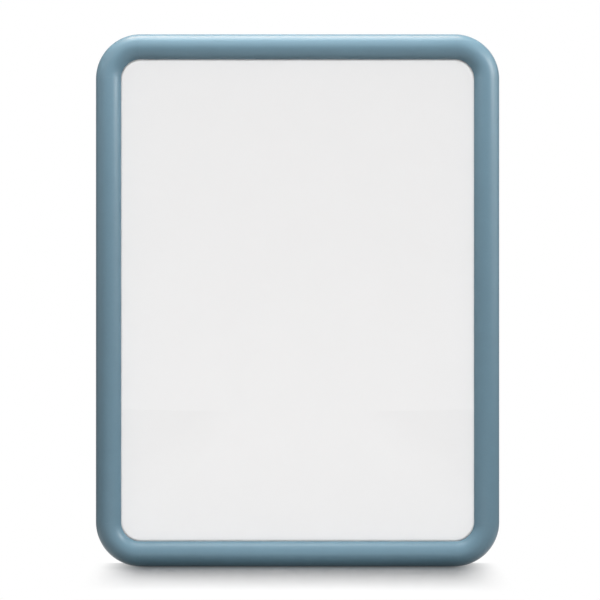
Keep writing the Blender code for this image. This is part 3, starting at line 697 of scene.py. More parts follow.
doorSection = {
    "wall": 1.8 * mm,
    "sideFlat": 3.5 * mm,
    "backEdge": 1.2 * mm,
    "lipEdge": 2.0 * mm,
    "lipSoftening": 0.5 * mm,
    "rebate": 8.0 * mm,
    "grooveDepth": 1.2 * mm,
    "grooveWidth": 1.2 * mm,
    "grooveSetback": 1.0 * mm,
    "grooveWeb": 1.5 * mm,
    "tongue": 24.0 * mm,
    "pocketDegrees": (7, 42),  # the first pocket's, from either end of a corner's arc
    "roundSteps": 40,
    "edgeSteps": 8,
}


def doorFront(inset=0.0):
    # a quarter ellipse up the outer side to the crest, then an arc down to the lip
    crestU = board["face"] / 2
    spring = board["doorBack"] + doorSection["sideFlat"]
    fall = board["crest"] - board["lipBack"] - doorSection["lipEdge"]
    radius = (crestU ** 2 + fall ** 2) / (2 * fall)
    centre = board["crest"] - radius
    steps = doorSection["roundSteps"]
    outer = arc((crestU, spring), (crestU - inset, board["crest"] - spring - inset), pi, pi / 2, steps)
    end = asin(crestU / radius)
    if inset:
        level = board["lipBack"] + inset - centre
        end = asin(sqrt((radius - inset) ** 2 - level ** 2) / (radius - inset))
    inner = arc((crestU, centre), radius - inset, pi / 2, pi / 2 - end, steps)
    return np.vstack((outer, inner[1:]))


def doorOutline():
    # back edge, front, lip, rebate for the glazing and the groove that holds its bead
    s, back, lipBack = doorSection, board["doorBack"], board["lipBack"]
    edge, soft = s["backEdge"], s["lipSoftening"]
    rebateU = board["face"] - s["rebate"]
    grooveU = rebateU - s["grooveDepth"]
    low = back + s["grooveSetback"]
    high = low + s["grooveWidth"]
    return np.vstack((
        arc((edge, back + edge), edge, -pi / 2, -pi, s["edgeSteps"]),
        doorFront(),
        arc((board["face"] - soft, lipBack + soft), soft, 0, -pi / 2, s["edgeSteps"]),
        ((rebateU, lipBack), (rebateU, high), (grooveU, high)),
        ((grooveU, low), (rebateU, low), (rebateU, back)),
    ))


def doorHollow(wall, back):
    # the hollow inside the frame, a wall in from the front
    s = doorSection
    web = board["face"] - s["rebate"] - s["grooveDepth"] - s["grooveWeb"] - (wall - s["wall"])
    shelf = board["lipBack"] + wall
    return np.vstack(((wall, back), doorFront(wall), (web, shelf), (web, back)))


def makeDoorRails():
    # the section and the hollow in it, run straight along each side
    wall = doorSection["wall"]
    loops = [doorOutline(), doorHollow(wall, board["doorBack"] + wall)]
    for side in sides:
        present("doorRail_" + side, railMesh(side, loops), "door", "frame_paint", "door_rail_" + side)


def makeDoorCorners():
    # the section carried round the arc, with two pockets open to the rear and a rib between them
    wall, back = doorSection["wall"], board["doorBack"]
    hollow = doorHollow(wall, back)
    outline = np.vstack((doorOutline(), hollow[-1], hollow[0]))
    tongue = doorHollow(wall + seatGap, back + wall + seatGap)
    angles = np.radians(np.arange(91))
    first, last = doorSection["pocketDegrees"]
    spans = ((first, last), (90 - last, 90 - first))
    opened = np.zeros((90, len(outline)), bool)
    for low, high in spans:
        opened[low:high, -2] = True
    for corner in corners:
        shell = Shell()
        shell.grid(carried(outline, *cornerPath(corner, angles)), closed=True, keep=~opened)
        for low, high in spans:
            walls = carried(hollow, *cornerPath(corner, angles[low:high + 1]))
            shell.grid(walls)
            for end in (0, -1):
                shell.cap([hollow], [walls[end]])
        tongues(shell, outline, tongue, corner, doorSection["tongue"])
        present("doorCorner_" + corner, shell.mesh(), "door", "corner_plastic", "door_corner_" + corner)


makeDoorRails()
makeDoorCorners()
print("door frame: four rails and four corners")


# Glazing and its beads

glazing = {"polish": 0.35 * mm, "edgeSteps": 4, "cornerSteps": 24, "sharp": 40}
bead = {
    "face": 6.8 * mm,
    "nose": 2.0 * mm,
    "noseSteps": 12,
    "soften": 0.25 * mm,
    "softenSteps": 4,
    "short": 0.1 * mm,
}


def makeGlazing():
    # a flat sheet with corners concentric to the board's, whose cut edges are polished round
    polish = glazing["polish"]
    back, front = -glassHigh[1], -glassLow[1]

    def outline(x):
        inset = board["halfWidth"] - glassHigh[0] + polish - x
        return [roundedRectangle(board["halfWidth"] - inset, board["halfHeight"] - inset,
                                 board["radius"] - inset, glazing["cornerSteps"])]

    edge = arc((0, 0), polish, 0, pi / 2, glazing["edgeSteps"])
    layers = [(outline(x), back + polish - y) for x, y in edge[::-1]]
    layers += [(outline(x), front - polish + y) for x, y in edge]
    present("glazingSheet", stack(layers, onWall, glazing["sharp"]), "door", "acrylic", "glazing")


def makeBeads():
    # a snap-in strip behind each edge of the glazing, its tongue in the frame's groove
    s, nose, soft = doorSection, bead["nose"], bead["soften"]
    back, front = board["doorBack"] + seatGap, -glassHigh[1] - seatGap
    foot = board["face"] - s["rebate"] + seatGap
    tip, edge = foot - s["grooveDepth"], foot + bead["face"]
    low = back + s["grooveSetback"]
    high = low + s["grooveWidth"] - 2 * seatGap
    loop = np.vstack((
        arc((edge - nose, back + nose), nose, -pi / 2, 0, bead["noseSteps"]),
        arc((edge - soft, front - soft), soft, 0, pi / 2, bead["softenSteps"]),
        ((foot, front), (foot, high), (tip, high), (tip, low), (foot, low), (foot, back)),
    ))
    for side in sides:
        mesh = railMesh(side, [loop], bead["short"])
        present("glazingBead_" + side, mesh, "door", "bead", "glazing_bead_" + side)


makeGlazing()
makeBeads()
print("glazing: sheet and four beads")


# Case

caseSection = {
    "wall": 1.6 * mm,
    "chamber": 3.7 * mm,
    "flange": 11.0 * mm,
    "ledge": 5.0 * mm,
    "ledgeThickness": 1.4 * mm,
    "edge": 0.7 * mm,
    "edgeSteps": 5,
    "tongue": 20.0 * mm,
    "cornerSteps": 36,
    "notch": (-11.0 * mm, 17.0 * mm),  # where the ledge gives way to the lock
    "notchStub": 0.5 * mm,
}
lock = {
    "centre": np.array((cadHigh.x - board["caseSetback"], *middle("lock_body")[1:])),
    "headRadius": np.ptp(nodeBox("lock_body"), axis=0)[2] / 2,
    "head": 2.0 * mm,
    "headEdge": 0.7 * mm,
    "headSteps": 6,
    "barrel": 5.0 * mm,
    "length": 12.4 * mm,
    "steps": 72,
    "drill": (10.0 * mm, 64),  # how far the case is cut to each side, and its steps
    "bore": (0.6 * mm, 0.35 * mm),  # where it starts behind the plug's face, and its edge
    "plug": 3.6 * mm,
    "plugRecess": 0.4 * mm,
    "plugEdges": (0.25 * mm, 0.2 * mm),  # at its face and at its end
    "plugSteps": 64,
    "keyway": (5.0 * mm, 1.4 * mm, 8.0 * mm),  # height, width and depth
    "keywayFlare": (1.06, 1.25),
    "keywayCorner": (0.35 * mm, 4),
    "tail": 4.0 * mm,
    "tailPlay": 0.24 * mm,
    "tailEdge": 0.3 * mm,
    "tailSteps": 3,
    "tailTaper": 0.88,
    "nutFlats": 12.6 * mm,
    "nut": 3.0 * mm,
    "nutLevels": (0, 0.04, 0.1, 1 / 6, 5 / 6, 0.9, 0.96, 1),  # shares of its thickness
    "nutCone": (0.97, 1.9),  # share of the hexagon at a face, and how fast it widens
    "nutEdge": 0.5 * mm,
    "nutPlay": 0.05 * mm,
    "nutSteps": 96,
    "cam": 1.5 * mm,
    "camHub": 5.0 * mm,
    "camShoulder": radians(50),
    "camReach": 13.0 * mm,
    "camWidth": 7.0 * mm,
    "camBevel": 0.18 * mm,
    "camSteps": (40, 24),  # round the hub and round the finger's tip
    "screw": (3.4 * mm, 1.8 * mm, 1.5 * mm, 3.0 * mm),  # radius and height of its head, then of its shank
    "screwGap": 0.02 * mm,
}
lockPlace = around(lock["centre"], -across, up)  # a loop runs up and towards the wall, its height inwards


def caseOutline(ledge):
    # hollow side, rear flange behind the panel and ledge before it, with the outer edges rounded
    s, depth, left = caseSection, board["caseDepth"], board["caseSetback"]
    edge, wall = s["edge"], s["wall"]
    inner = left + 2 * wall + s["chamber"]
    flange, shelf = inner + s["flange"], inner + ledge
    low = -nodeBox("tack_facing")[0][1] + seatGap
    high = low + s["ledgeThickness"]
    return np.vstack((
        arc((left + edge, edge), edge, pi, 3 * pi / 2, s["edgeSteps"]),
        ((flange, 0), (flange, wall), (inner, wall)),
        ((inner, low), (shelf, low), (shelf, high), (inner, high), (inner, depth)),
        arc((left + edge, depth - edge), edge, pi / 2, pi, s["edgeSteps"]),
    ))


def caseChamber(play):
    # the hollow of the side, or with some play the tongue in it
    wall, low = caseSection["wall"] + play, board["caseSetback"] + caseSection["wall"] + play
    return rectangle(low, wall, low + caseSection["chamber"] - 2 * play, board["caseDepth"] - wall)


def lockRail(whole, chamber):
    # the right rail: its ledge is cut back to a stub for the strike, and its walls are bored for the lock
    half = straightHalf("right") - seam
    low, high = caseSection["notch"]
    start, inward = railPath("right", (-half, -high, -high, -low, -low, half))  # it runs downwards
    stub = caseOutline(caseSection["notchStub"])
    inside = carried(chamber, start, inward)
    rows = np.array([carried(section, start[k:k + 1], inward[k:k + 1])[0]
                     for k, section in enumerate((whole, whole, stub, stub, whole, whole))])
    shell = Shell()
    shell.grid(rows, closed=True)
    shell.grid(inside, closed=True)
    for end in (0, -1):
        shell.cap([whole, chamber], [rows[end], inside[end]])
    return cutAway(shell.mesh(), drill(lock["barrel"] + seatGap, *lock["drill"], lockPlace))


def makeCaseRails():
    # the case's section and its chamber, run straight along each side
    whole, chamber = caseOutline(caseSection["ledge"]), caseChamber(0)
    for side in sides:
        mesh = lockRail(whole, chamber) if side == "right" else railMesh(side, [whole, chamber])
        present("caseRail_" + side, mesh, "case", "case_paint", "case_rail_" + side)


def makeCaseCorners():
    # the case's section carried round the arc, without its chamber
    outline, tongue = caseOutline(caseSection["ledge"]), caseChamber(seatGap)
    angles = np.linspace(0, pi / 2, caseSection["cornerSteps"] + 1)
    for corner in corners:
        shell = Shell()
        shell.grid(carried(outline, *cornerPath(corner, angles)), closed=True)
        tongues(shell, outline, tongue, corner, caseSection["tongue"])
        present("caseCorner_" + corner, shell.mesh(), "case", "case_plastic", "case_corner_" + corner)


makeCaseRails()
makeCaseCorners()
print("case: four rails and four corners")


# Screws

def dome(radius, height, crown, rim, steps):
    # from a flat underside over an eased edge up a quarter ellipse, by shares of radius and height
    (wide, tall), (edge, rise) = crown, rim
    curve = arc((radius * (1 - wide), height * (1 - tall)), (radius * wide, height * tall), 0, pi / 2, steps)
    return np.vstack(((radius * edge, 0), (radius, height * rise), curve))


fasteners = {
    "steps": 32,
    "crossSpan": 0.56,  # span, width and depth are shares of the head's radius
    "crossWidth": 0.15,
    "crossDepth": 0.31,
    "crossTaper": 0.6,  # the size of the recess's floor, as a share of its mouth's
    "pan": ((0.38, 0.75), (0.97, 0.08), 8),  # crown and rim, as shares of radius and height, and steps
    "sunkRim": ((0.96, 0.12 * mm), (1, 0.05 * mm), (0.95, 0)),  # shares of the radius, and depths
}


def crossLoop(span, width):
    # the twelve corners of a cross: three of them, turned by each quarter
    quarter = np.array(((span, -width), (span, width), (width, width)))
    turns = [np.array(((c, -s), (s, c))) for c, s in ((1, 0), (0, 1), (-1, 0), (0, -1))]
    return np.vstack([quarter @ turn.T for turn in turns])


def addScrew(shell, put, profile):
    # the profile of radius and height is carried round the axis, and its flat top gets a tapered cross recess
    f = fasteners
    layers = rings(profile, f["steps"])
    rows = shell.loft(put, layers)
    widest, top = profile[:, 0].max(), profile[-1, 1]
    upper = crossLoop(widest * f["crossSpan"], widest * f["crossWidth"])
    lower = upper * f["crossTaper"]
    walls = shell.loft(put, ((upper, top), (lower, top - widest * f["crossDepth"])))
    shell.cap([layers[-1][0], upper], [rows[-1], walls[0]])
    shell.cap([lower], [walls[1]])
    shell.cap([layers[0][0]], [rows[0]])


def panHead(radius, height, shank, length):
    # a shank, a flat underside and a head whose rim is a quarter ellipse
    return np.vstack(((shank, -length), (shank, 0), dome(radius, height, *fasteners["pan"])))


def sunkHead(radius, depth, shank, length):
    # a countersunk head: its cone runs down to the shank, and its rim is eased
    rim = [(radius * share, -below) for share, below in fasteners["sunkRim"]]
    return np.array([(shank, -length), (shank, -depth)] + rim)


# Strike plate

strike = {
    "thickness": 1.0 * mm,
    "bendOutside": 1.5 * mm,
    "bendInside": 0.6 * mm,
    "bendSteps": 6,
    "edge": 0.1 * mm,
    "sharp": 30,
    "tabHeight": 6.0 * mm,
    "baseWidth": 9.0 * mm,
    "tabPlay": 0.4 * mm,
    "holes": (0.5, 0.85),  # shares of the base's height
    "drill": (1.7 * mm, 3.0 * mm, 32),  # radius, reach and steps
    "screw": (2.9 * mm, 1.3 * mm, 1.5 * mm, 4.5 * mm),  # radius and height of its head, then of its shank
    "screwSide": np.array((0.8, 0, 0.6)),
    "bevel": 0.12 * mm,
    "cutPast": 2.0 * mm,
}


def makeStrike():
    # a strip bent to a hook behind the turned cam, and its base with two screws
    s, t, past = strike, strike["thickness"], strike["cutPast"]
    low, high = nodeBox("strike_plate")
    front, tab = -low[1], -high[1]
    outer = board["halfWidth"] - low[0]
    inner, foot = outer - t, outer - s["baseWidth"]
    tip = board["halfWidth"] - nodeBox("lock_cam")[1][0] + s["tabPlay"]
    corner = ((foot, front), (outer, front), (outer, tab), (tip, tab),
              (tip, tab + t), (inner, tab + t), (inner, front - t), (foot, front - t))
    o, i, e = s["bendOutside"], s["bendInside"], s["edge"]
    section = softened(corner, (e, o, o, e, e, i, i, e), s["bendSteps"])
    mesh = sweep([section], *railPath("right", (-high[2], -low[2])))
    above = rectangle(low[0] - past, low[2] + s["tabHeight"], board["halfWidth"] + past, high[2] + past)
    mesh = cutAway(mesh, stack([([above], front - t), ([above], 0)], onWall))
    screws = Shell()
    for share in s["holes"]:
        level = low[2] + (high[2] - low[2]) * share
        base = np.array((board["halfWidth"] - (foot + inner) / 2, t - front, level))
        mesh = cutAway(mesh, drill(*s["drill"], around(base, -forward, across)))
        addScrew(screws, around(base, -forward, s["screwSide"]), panHead(*s["screw"]))
    mesh.set_sharp_from_angle(angle=radians(s["sharp"]))
    present("strikePlate", mesh, "door", "zinc_steel", "strike_plate", s["bevel"])
    present("strikeScrews", screws.mesh(), "door", "zinc_steel")


makeStrike()
print("strike plate with its screws")


# Piano hinge

hinge = {
    "knuckle": 2.6 * mm,
    "leaf": 0.9 * mm,
    "width": 13.0 * mm,
    "curl": radians(290),
    "curlSteps": 40,
    "knuckleLength": 24.2 * mm,
    "reach": 3.2 * mm,
    "pin": (1.3 * mm, 0.5 * mm),  # its radius and the height of its domed ends
    "pinSteps": (32, 8),  # round it and up each end
    "screws": 9,
    "sink": (2.7 * mm, 1.5 * mm, 0.6),  # the countersink's mouth, throat and taper
    "sinkSteps": 32,
    "screw": (2.55 * mm, 0.75 * mm, 1.4 * mm, 5.0 * mm),  # radius and depth of its head, then of its shank
    "sunk": 0.06 * mm,
    "turns": (0.7, 0.3),  # a screw's turn is its number squared times the first, plus the second
    "bevel": 0.1 * mm,
}


def leafPlaces(first, count, span):
    # the lower and upper end of every second knuckle from the first
    pitch = span / count
    places = []
    for k in range(first, count, 2):
        low = -span / 2 + k * pitch + (seatGap / 2 if k else 0)
        high = -span / 2 + (k + 1) * pitch - (seatGap / 2 if k < count - 1 else 0)
        places.append((low, high))
    return places


def leafShell(own, half, holes, onPlate, onKnuckle):
    # a drilled plate, in loops that run out from the pin and up, with a rolled knuckle in each of its places
    h, curled = hinge, pi / 2 + hinge["curl"]
    far, near = h["knuckle"], h["knuckle"] - h["leaf"]
    mouth, throat, taper = h["sink"]
    shell = Shell()
    marks = np.array(sorted({-half, half} | {z for pair in own for z in pair}))
    plate = np.vstack((np.column_stack((np.full(len(marks), h["reach"]), marks)),
                       ((h["width"], half), (h["width"], -half))))
    circle = ring(1.0, h["sinkSteps"])
    sinks = [[(circle * mouth + hole, near), (circle * throat + hole, near + (mouth - throat) * taper),
              (circle * throat + hole, far)] for hole in holes]
    for sink in sinks:
        shell.loft(onPlate, sink)
    for end, depth in ((0, near), (-1, far)):
        loops = [plate] + [sink[end][0] for sink in sinks]
        shell.cap(loops, [onPlate(loop, depth) for loop in loops])
    middles = (marks[1:] + marks[:-1]) / 2
    keep = np.ones((1, len(plate)), bool)
    keep[0, :len(middles)] = [not any(low < z < high for low, high in own) for z in middles]
    shell.grid(np.array([onPlate(plate, depth) for depth in (near, far)]), closed=True, keep=keep)
    strip = np.vstack(((h["reach"], far), arc((0, 0), far, pi / 2, curled, h["curlSteps"]),
                       arc((0, 0), near, curled, pi / 2, h["curlSteps"]), (h["reach"], near)))
    for pair in own:
        ends = np.array([onKnuckle(strip * (1, -1), z) for z in pair])
        shell.grid(ends)
        for end in ends:
            shell.cap([strip], [end])
    return shell


def makeHinge():
    # the case leaf runs back from the pin along the case's side, the door leaf inward behind the frame
    h = hinge
    axis = middle("hinge_pin") * (1, 1, 0)
    low, high = nodeBox("hinge_case_leaf")
    half = (high[2] - low[2]) / 2
    count = 2 * int(half / h["knuckleLength"]) + 1
    levels = (2 * (np.arange(h["screws"]) + 0.5) / h["screws"] - 1) * half
    holes = [((h["reach"] + h["width"]) / 2, level) for level in levels]
    growth, first = h["turns"]
    for title, body, lowest, along, outward in (("Case", "case", 0, -forward, -across),
                                                ("Door", "door", 1, across, -forward)):
        leaf = leafShell(leafPlaces(lowest, count, 2 * half), half, holes,
                         around(axis, -outward, along), around(axis, up, along))
        present("hingeLeaf" + title, leaf.mesh(), body, "zinc_steel", "hinge_%s_leaf" % body, h["bevel"])
        screws = Shell()
        for k, (out, z) in enumerate(holes):
            base = axis + along * out + up * z - outward * (h["knuckle"] - h["leaf"] + h["sunk"])
            turn = growth * k ** 2 + first  # each cross stands at its own angle
            side = up * cos(turn) + np.cross(up, outward) * sin(turn)
            addScrew(screws, around(base, outward, side), sunkHead(*h["screw"]))
        present("hingeScrews" + title, screws.mesh(), body, "zinc_steel")
    steps, rise = h["pinSteps"]
    ends = (arc((0, -half), h["pin"], -pi / 2, 0, rise), arc((0, half), h["pin"], 0, pi / 2, rise))
    pin = turned(np.vstack(ends), steps, around(axis, up, across))
    present("hingePin", pin, "case", "zinc_steel", "hinge_pin")


makeHinge()
print("hinge: two leaves, the pin and the screws")


# Cam lock

thread = {
    "pitch": 0.9 * mm,
    "depth": 0.35 * mm,
    "rings": 8,  # for each turn
    "flank": 3.2,  # how fast the groove deepens across a turn
    "clear": (0.2 * mm, 0.01 * mm),  # what is left out of the barrel at its two ends
    "fadeIn": (0.4 * mm, 1.5 * mm),  # where the groove begins, and over what length it grows
    "fadeOut": 0.3 * mm,
    "chamfer": (0.8 * mm, 1.2),  # at the barrel's end: its length, and its share of the depth
    "tip": 1.25,  # share of the depth that the barrel's very end is cut back
}


def makeLockBody():
    # flanged head and a threaded barrel: its radius falls by the thread's depth, in a helix
    k, barrel, depth, length = lock, lock["barrel"], thread["depth"], lock["length"]
    face, inside = -seatGap - k["head"], k["plug"] + seatGap
    edge, (deep, soft) = k["headEdge"], k["bore"]
    head = [(inside, face + k["plugRecess"] + deep), (inside, face + soft), (inside + soft, face),
            *arc((k["headRadius"] - edge, face + edge), edge, -pi / 2, 0, k["headSteps"]),
            (k["headRadius"], -seatGap), (barrel, -seatGap)]
    angle = np.linspace(0, 2 * pi, k["steps"], endpoint=False)
    start, stop = thread["clear"]
    rise = np.arange(start, length - stop, thread["pitch"] / thread["rings"])
    left = length - rise
    phase = (rise[:, None] / thread["pitch"] - angle / (2 * pi)) % 1.0
    cut = np.clip(thread["flank"] * (0.5 - np.abs(phase - 0.5)), 0, 1) * depth
    begin, grow = thread["fadeIn"]
    fade = np.clip((rise - begin) / grow, 0, 1) * np.clip(left / thread["fadeOut"], 0, 1)
    run, share = thread["chamfer"]
    chamfer = np.clip(1 - left / run, 0, 1) * depth * share
    radii = barrel - np.maximum(cut * fade[:, None], chamfer[:, None])
    profile = head + list(zip(radii, rise))
    profile += [(barrel - depth * thread["tip"], length), (inside, length), head[0]]
    present("lockBody", turned(profile, k["steps"], lockPlace, 35), "case", "nickel", "lock_body")


def makeLockNut():
    # radius is the lesser of a hexagon and a chamfer cone, that widens from each face
    k, thick, half, edge = lock, lock["nut"], lock["nutFlats"] / 2, lock["nutEdge"]
    steps, (share, widening) = k["nutSteps"], k["nutCone"]
    hexagon = half / np.cos(np.linspace(0, 2 * pi, steps, endpoint=False) % (pi / 3) - pi / 6)
    low = board["halfWidth"] - nodeBox("lock_nut")[1][0] - board["caseSetback"]
    high, hole = low + thick, k["barrel"] + k["nutPlay"]
    depths = np.array(k["nutLevels"]) * thick
    cone = half * share + np.minimum(depths, thick - depths) * widening
    outside = [(np.minimum(hexagon, widest), low + depth) for widest, depth in zip(cone, depths)]
    inside = [(hole + edge, high), (hole, high - edge), (hole, low + edge), (hole + edge, low)]
    nut = turned(outside + inside + outside[:1], steps, lockPlace, 25)
    present("lockNut", nut, "case", "zinc_steel", "lock_nut")


def makeLockPlug():
    # a cylinder with a keyway from its face and a square tail that drives the cam
    k, radius, length = lock, lock["plug"], lock["length"]
    face = -seatGap - k["head"] + k["plugRecess"]
    tall, wide, deep = k["keyway"]
    slot = pad(tall, wide, *k["keywayCorner"])
    flared = slot * k["keywayFlare"]
    square = pad(k["tail"], k["tail"], k["tailEdge"], k["tailSteps"])
    edge, rear = k["plugEdges"]
    tailEnd = length + seatGap + k["cam"]
    shell = Shell()
    layers = rings(((radius - edge, face), (radius, face + edge), (radius, length - rear),
                    (radius - rear, length)), k["plugSteps"])
    rows = shell.loft(lockPlace, layers)
    key = shell.loft(lockPlace, ((flared, face), (slot, face + edge), (slot, face + deep)))
    tail = shell.loft(lockPlace, ((square, length), (square, tailEnd - k["tailEdge"]),
                                  (square * k["tailTaper"], tailEnd)))
    shell.cap([layers[0][0], flared], [rows[0], key[0]])
    shell.cap([slot], [key[2]])
    shell.cap([layers[-1][0], square], [rows[-1], tail[0]])
    shell.cap([square], [tail[2]])
    present("lockPlug", shell.mesh(), "lock_cylinder", "nickel", "lock_plug")


def makeLockCam():
    # a round hub and a rounded finger on the plug's square tail, held by a screw
    k, shoulder, tip = lock, lock["camShoulder"], lock["camWidth"] / 2
    hubSteps, tipSteps = k["camSteps"]
    outline = np.vstack((arc((0, 0), k["camHub"], -shoulder, pi + shoulder, hubSteps),
                         arc((0, tip - k["camReach"]), tip, pi, 2 * pi, tipSteps)))
    eye = pad(k["tail"] + k["tailPlay"], k["tail"] + k["tailPlay"], k["tailEdge"], k["tailSteps"])
    low = k["length"] + seatGap
    high = low + k["cam"]
    mesh = stack([([outline, eye], low), ([outline, eye], high)], lockPlace)
    present("lockCam", mesh, "lock_cylinder", "zinc_steel", "lock_cam", k["camBevel"])
    screw = Shell()
    base = k["centre"] - across * (high + k["screwGap"])
    addScrew(screw, around(base, -across, up), panHead(*k["screw"]))
    present("camScrew", screw.mesh(), "lock_cylinder", "zinc_steel", "cam_screw")


makeLockBody()
makeLockNut()
makeLockPlug()
makeLockCam()
print("lock: body, nut, plug, cam and its screw")


# Hanger plates and bumpers

hanger = {
    "corner": 3.0 * mm,
    "entry": 4.6 * mm,
    "slot": 4.6 * mm,
    "run": 9.0 * mm,
    "rivetInset": 5.0 * mm,
    "rivet": (2.4 * mm, 0.32 * mm),  # radius and height of its dome
    "rivetShank": (1.3 * mm, 1.6 * mm),
    "dimple": (0.8 * mm, 0.1 * mm),  # its radius and the height of its floor
    "crownSteps": 6,
    "rivetSteps": 32,
    "cornerSteps": 10,
    "keyholeSteps": (48, 24),  # round the entry and round the slot's end
    "bevel": 0.15 * mm,
}
bumper = {
    "dome": ((0.75, 0.55), (0.97, 0.12), 10),  # crown and rim, as shares of radius and height, and steps
    "steps": 40,
    "sharp": 35,
}


def keyholeLoop():
    # a round entry below a narrow slot with a round end
    entry, run, half = hanger["entry"], hanger["run"], hanger["slot"] / 2
    opening = asin(half / entry)
    top = run / 2 + sqrt(entry ** 2 - half ** 2)
    entrySteps, endSteps = hanger["keyholeSteps"]
    return np.vstack((arc((0, -run / 2), entry, pi / 2 + opening, 5 * pi / 2 - opening, entrySteps),
                      arc((0, top), half, 0, pi, endSteps)))


def makeHangers():
    # plates sunk into the back, each with a rivet in every corner: a low dome with a dimple
    h = hanger
    (radius, proud), (shank, length), (dimple, floor) = h["rivet"], h["rivetShank"], h["dimple"]
    crown = arc((dimple, 0), (radius - dimple, proud), 0, pi / 2, h["crownSteps"])
    profile = np.vstack(((shank, -length), (shank, 0), crown, (shank / 2, floor), (0, floor)))
    for side in ("left", "right"):
        low, high = nodeBox("hanger_plate_" + side)
        centre, half = ((low + high) / 2)[::2], ((high - low) / 2)[::2]
        loops = [roundedRectangle(*half, h["corner"], h["cornerSteps"]) + centre, keyholeLoop() + centre]
        mesh = stack([(loops, -high[1]), (loops, -low[1])], onWall)
        present("hangerPlate_" + side, mesh, "case", "zinc_steel", "hanger_plate_" + side, h["bevel"])
        rivets = Shell()
        spots = centre + np.array(((-1, -1), (-1, 1), (1, -1), (1, 1))) * (half - h["rivetInset"])
        for spot in onWall(spots, -high[1]):
            layers = rings(profile, h["rivetSteps"])
            rows = rivets.loft(around(spot, -forward, across), layers)
            rivets.cap([layers[0][0]], [rows[0]])
        present("hangerRivets_" + side, rivets.mesh(), "case", "zinc_steel")


def makeBumpers():
    # low domes stuck to the case's front edge
    for end in ("top", "bottom"):
        low, high = nodeBox("door_bumper_" + end)
        radius, thick = (high[0] - low[0]) / 2, -low[1] - board["caseDepth"]
        base = onWall((low + high)[None, ::2] / 2, board["caseDepth"])[0]
        profile = np.vstack(((0, 0), dome(radius, thick, *bumper["dome"]), (0, thick)))
        mesh = turned(profile, bumper["steps"], around(base, forward, across), bumper["sharp"])
        present("doorBumper_" + end, mesh, "case", "bumper", "door_bumper_" + end)


makeHangers()
makeBumpers()
print("hangers with rivets, and bumpers")


# Tack panel and gasket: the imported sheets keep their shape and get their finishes

sheetFinishes = {"back_panel": "hardboard", "fibre_core": "fibreboard", "cork_sheet": "cork",
                 "tack_facing": "facing", "glazing_gasket": "seal"}
for node, slot in sheetFinishes.items():
    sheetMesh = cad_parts[node].data
    sheetMesh.materials.clear()
    sheetMesh.materials.append(finishes[slot])
print("tack panel: four sheets; glazing: its gasket")


# Camera and light

shot = {
    "imageWidth": 719.6 * mm,  # what the picture's width spans at the outline's plane
    "outlinePlane": -27.0 * mm,
    "distance": 2.2,
    "shift": (-2.9 * mm, 0.4 * mm),  # the board's centre lies this far from the picture's
    "sensor": 36.0,
}


def makeCamera():
    # the lens follows from the distance and the width that the picture spans
    data = assign(bpy.data.cameras.new("camera"), sensor_width=shot["sensor"],
                  lens=shot["sensor"] * shot["distance"] / shot["imageWidth"])
    stand = (-shot["shift"][0], shot["outlinePlane"] - shot["distance"], shot["shift"][1])
    bpy.context.scene.camera = assign(added("camera", data), location=stand, rotation_euler=(pi / 2, 0, 0))


softboxes = {
    # where it stands, what it points at, its size and its power
    "floorTop": ((-0.05, 0.128, 1.28), (-0.05, 0.128, 0), (1.0, 0.26), 29.0),
    "overhead": ((-0.12, 0.15, 1.28), (-0.12, 0.15, 0), (1.0, 0.3), 5.0),
    "overheadFront": ((-0.12, -0.25, 1.25), (-0.12, -0.03, 0.3), (1.0, 0.4), 4.5),
    "overheadFill": ((-0.12, -0.25, 1.25), (-0.12, -0.03, 0.3), (1.0, 0.4), 10.5),
    "highFront": ((-0.1, -0.9, 1.1), (0, 0, 0.1), (1.2, 0.6), 0.9),
    "rightSide": ((1.3, 0.05, 0.52), (0.2, 0, 0.1), (0.5, 1.1), 1.76),
    "rightFront": ((1.2, -0.5, 0.45), (0.2, 0, 0.1), (0.5, 1.1), 1.14),
    "highRight": ((1.25, -0.75, 0.68), (0, 0, 0.15), (0.95, 0.6), 8.8),
    "cornerLeft": ((-0.65, -0.55, 0.6), (-0.22, -0.03, 0.2), (0.3, 0.3), 1.8),
    "cornerRight": ((0.65, -0.55, 0.6), (0.22, -0.03, 0.2), (0.3, 0.3), 1.35),
    "stripFloor": ((0, -0.33, -0.285), (0, -0.03, -0.31), (0.42, 0.05), 0.27),
    "stripOver": ((-0.04, -0.06, 0.53), (-0.04, -0.03, 0.31), (0.5, 0.14), 0.15),
    "stripFront": ((-0.04, -0.22, 0.42), (-0.04, -0.03, 0.31), (0.42, 0.1), 0.076),
    "stripLow": ((-0.02, -0.28, 0.36), (-0.02, -0.03, 0.31), (0.42, 0.1), 0.081),
}
farLights = {
    # strength and, in degrees, how soft it is, how far above the front it stands and how far to the right
    "panelFront": (2.77, 8, 0, 0),
    "frontRight": (0.1, 15, 0, 30),
    "behind": (1.6, 30, 25, 160),
}
lights = {"floorTop": "floor", "panelFront": "panel"}  # the other lamps light the frame
tints = {"overhead": (1.42, 0.98, 0.7)}  # the other lamps are white
matt = ("floorTop", "overheadFill", "cornerLeft", "cornerRight", "stripFloor")  # gloss doesn't show these
ambient = 0.15


def receivers(name, pieces, state):
    # a lamp with this collection lights only these pieces, or all but these
    group = bpy.data.collections.new(name)
    for piece in pieces:
        group.objects.link(piece)
    for member in group.collection_objects:
        member.light_linking.link_state = state
    return group


def softbox(name, stand, target, size, power):
    # an area lamp turned to its target, which the camera doesn't see
    data = assign(bpy.data.lights.new(name, "AREA"), shape="RECTANGLE", size=size[0], size_y=size[1],
                  energy=power, color=tints.get(name, (1.0, 1.0, 1.0)))
    aim = (Vector(target) - Vector(stand)).to_track_quat("-Z", "Y").to_euler()
    return assign(added(name, data), location=stand, rotation_euler=aim, visible_glossy=name not in matt,
                  visible_camera=False, visible_transmission=False)


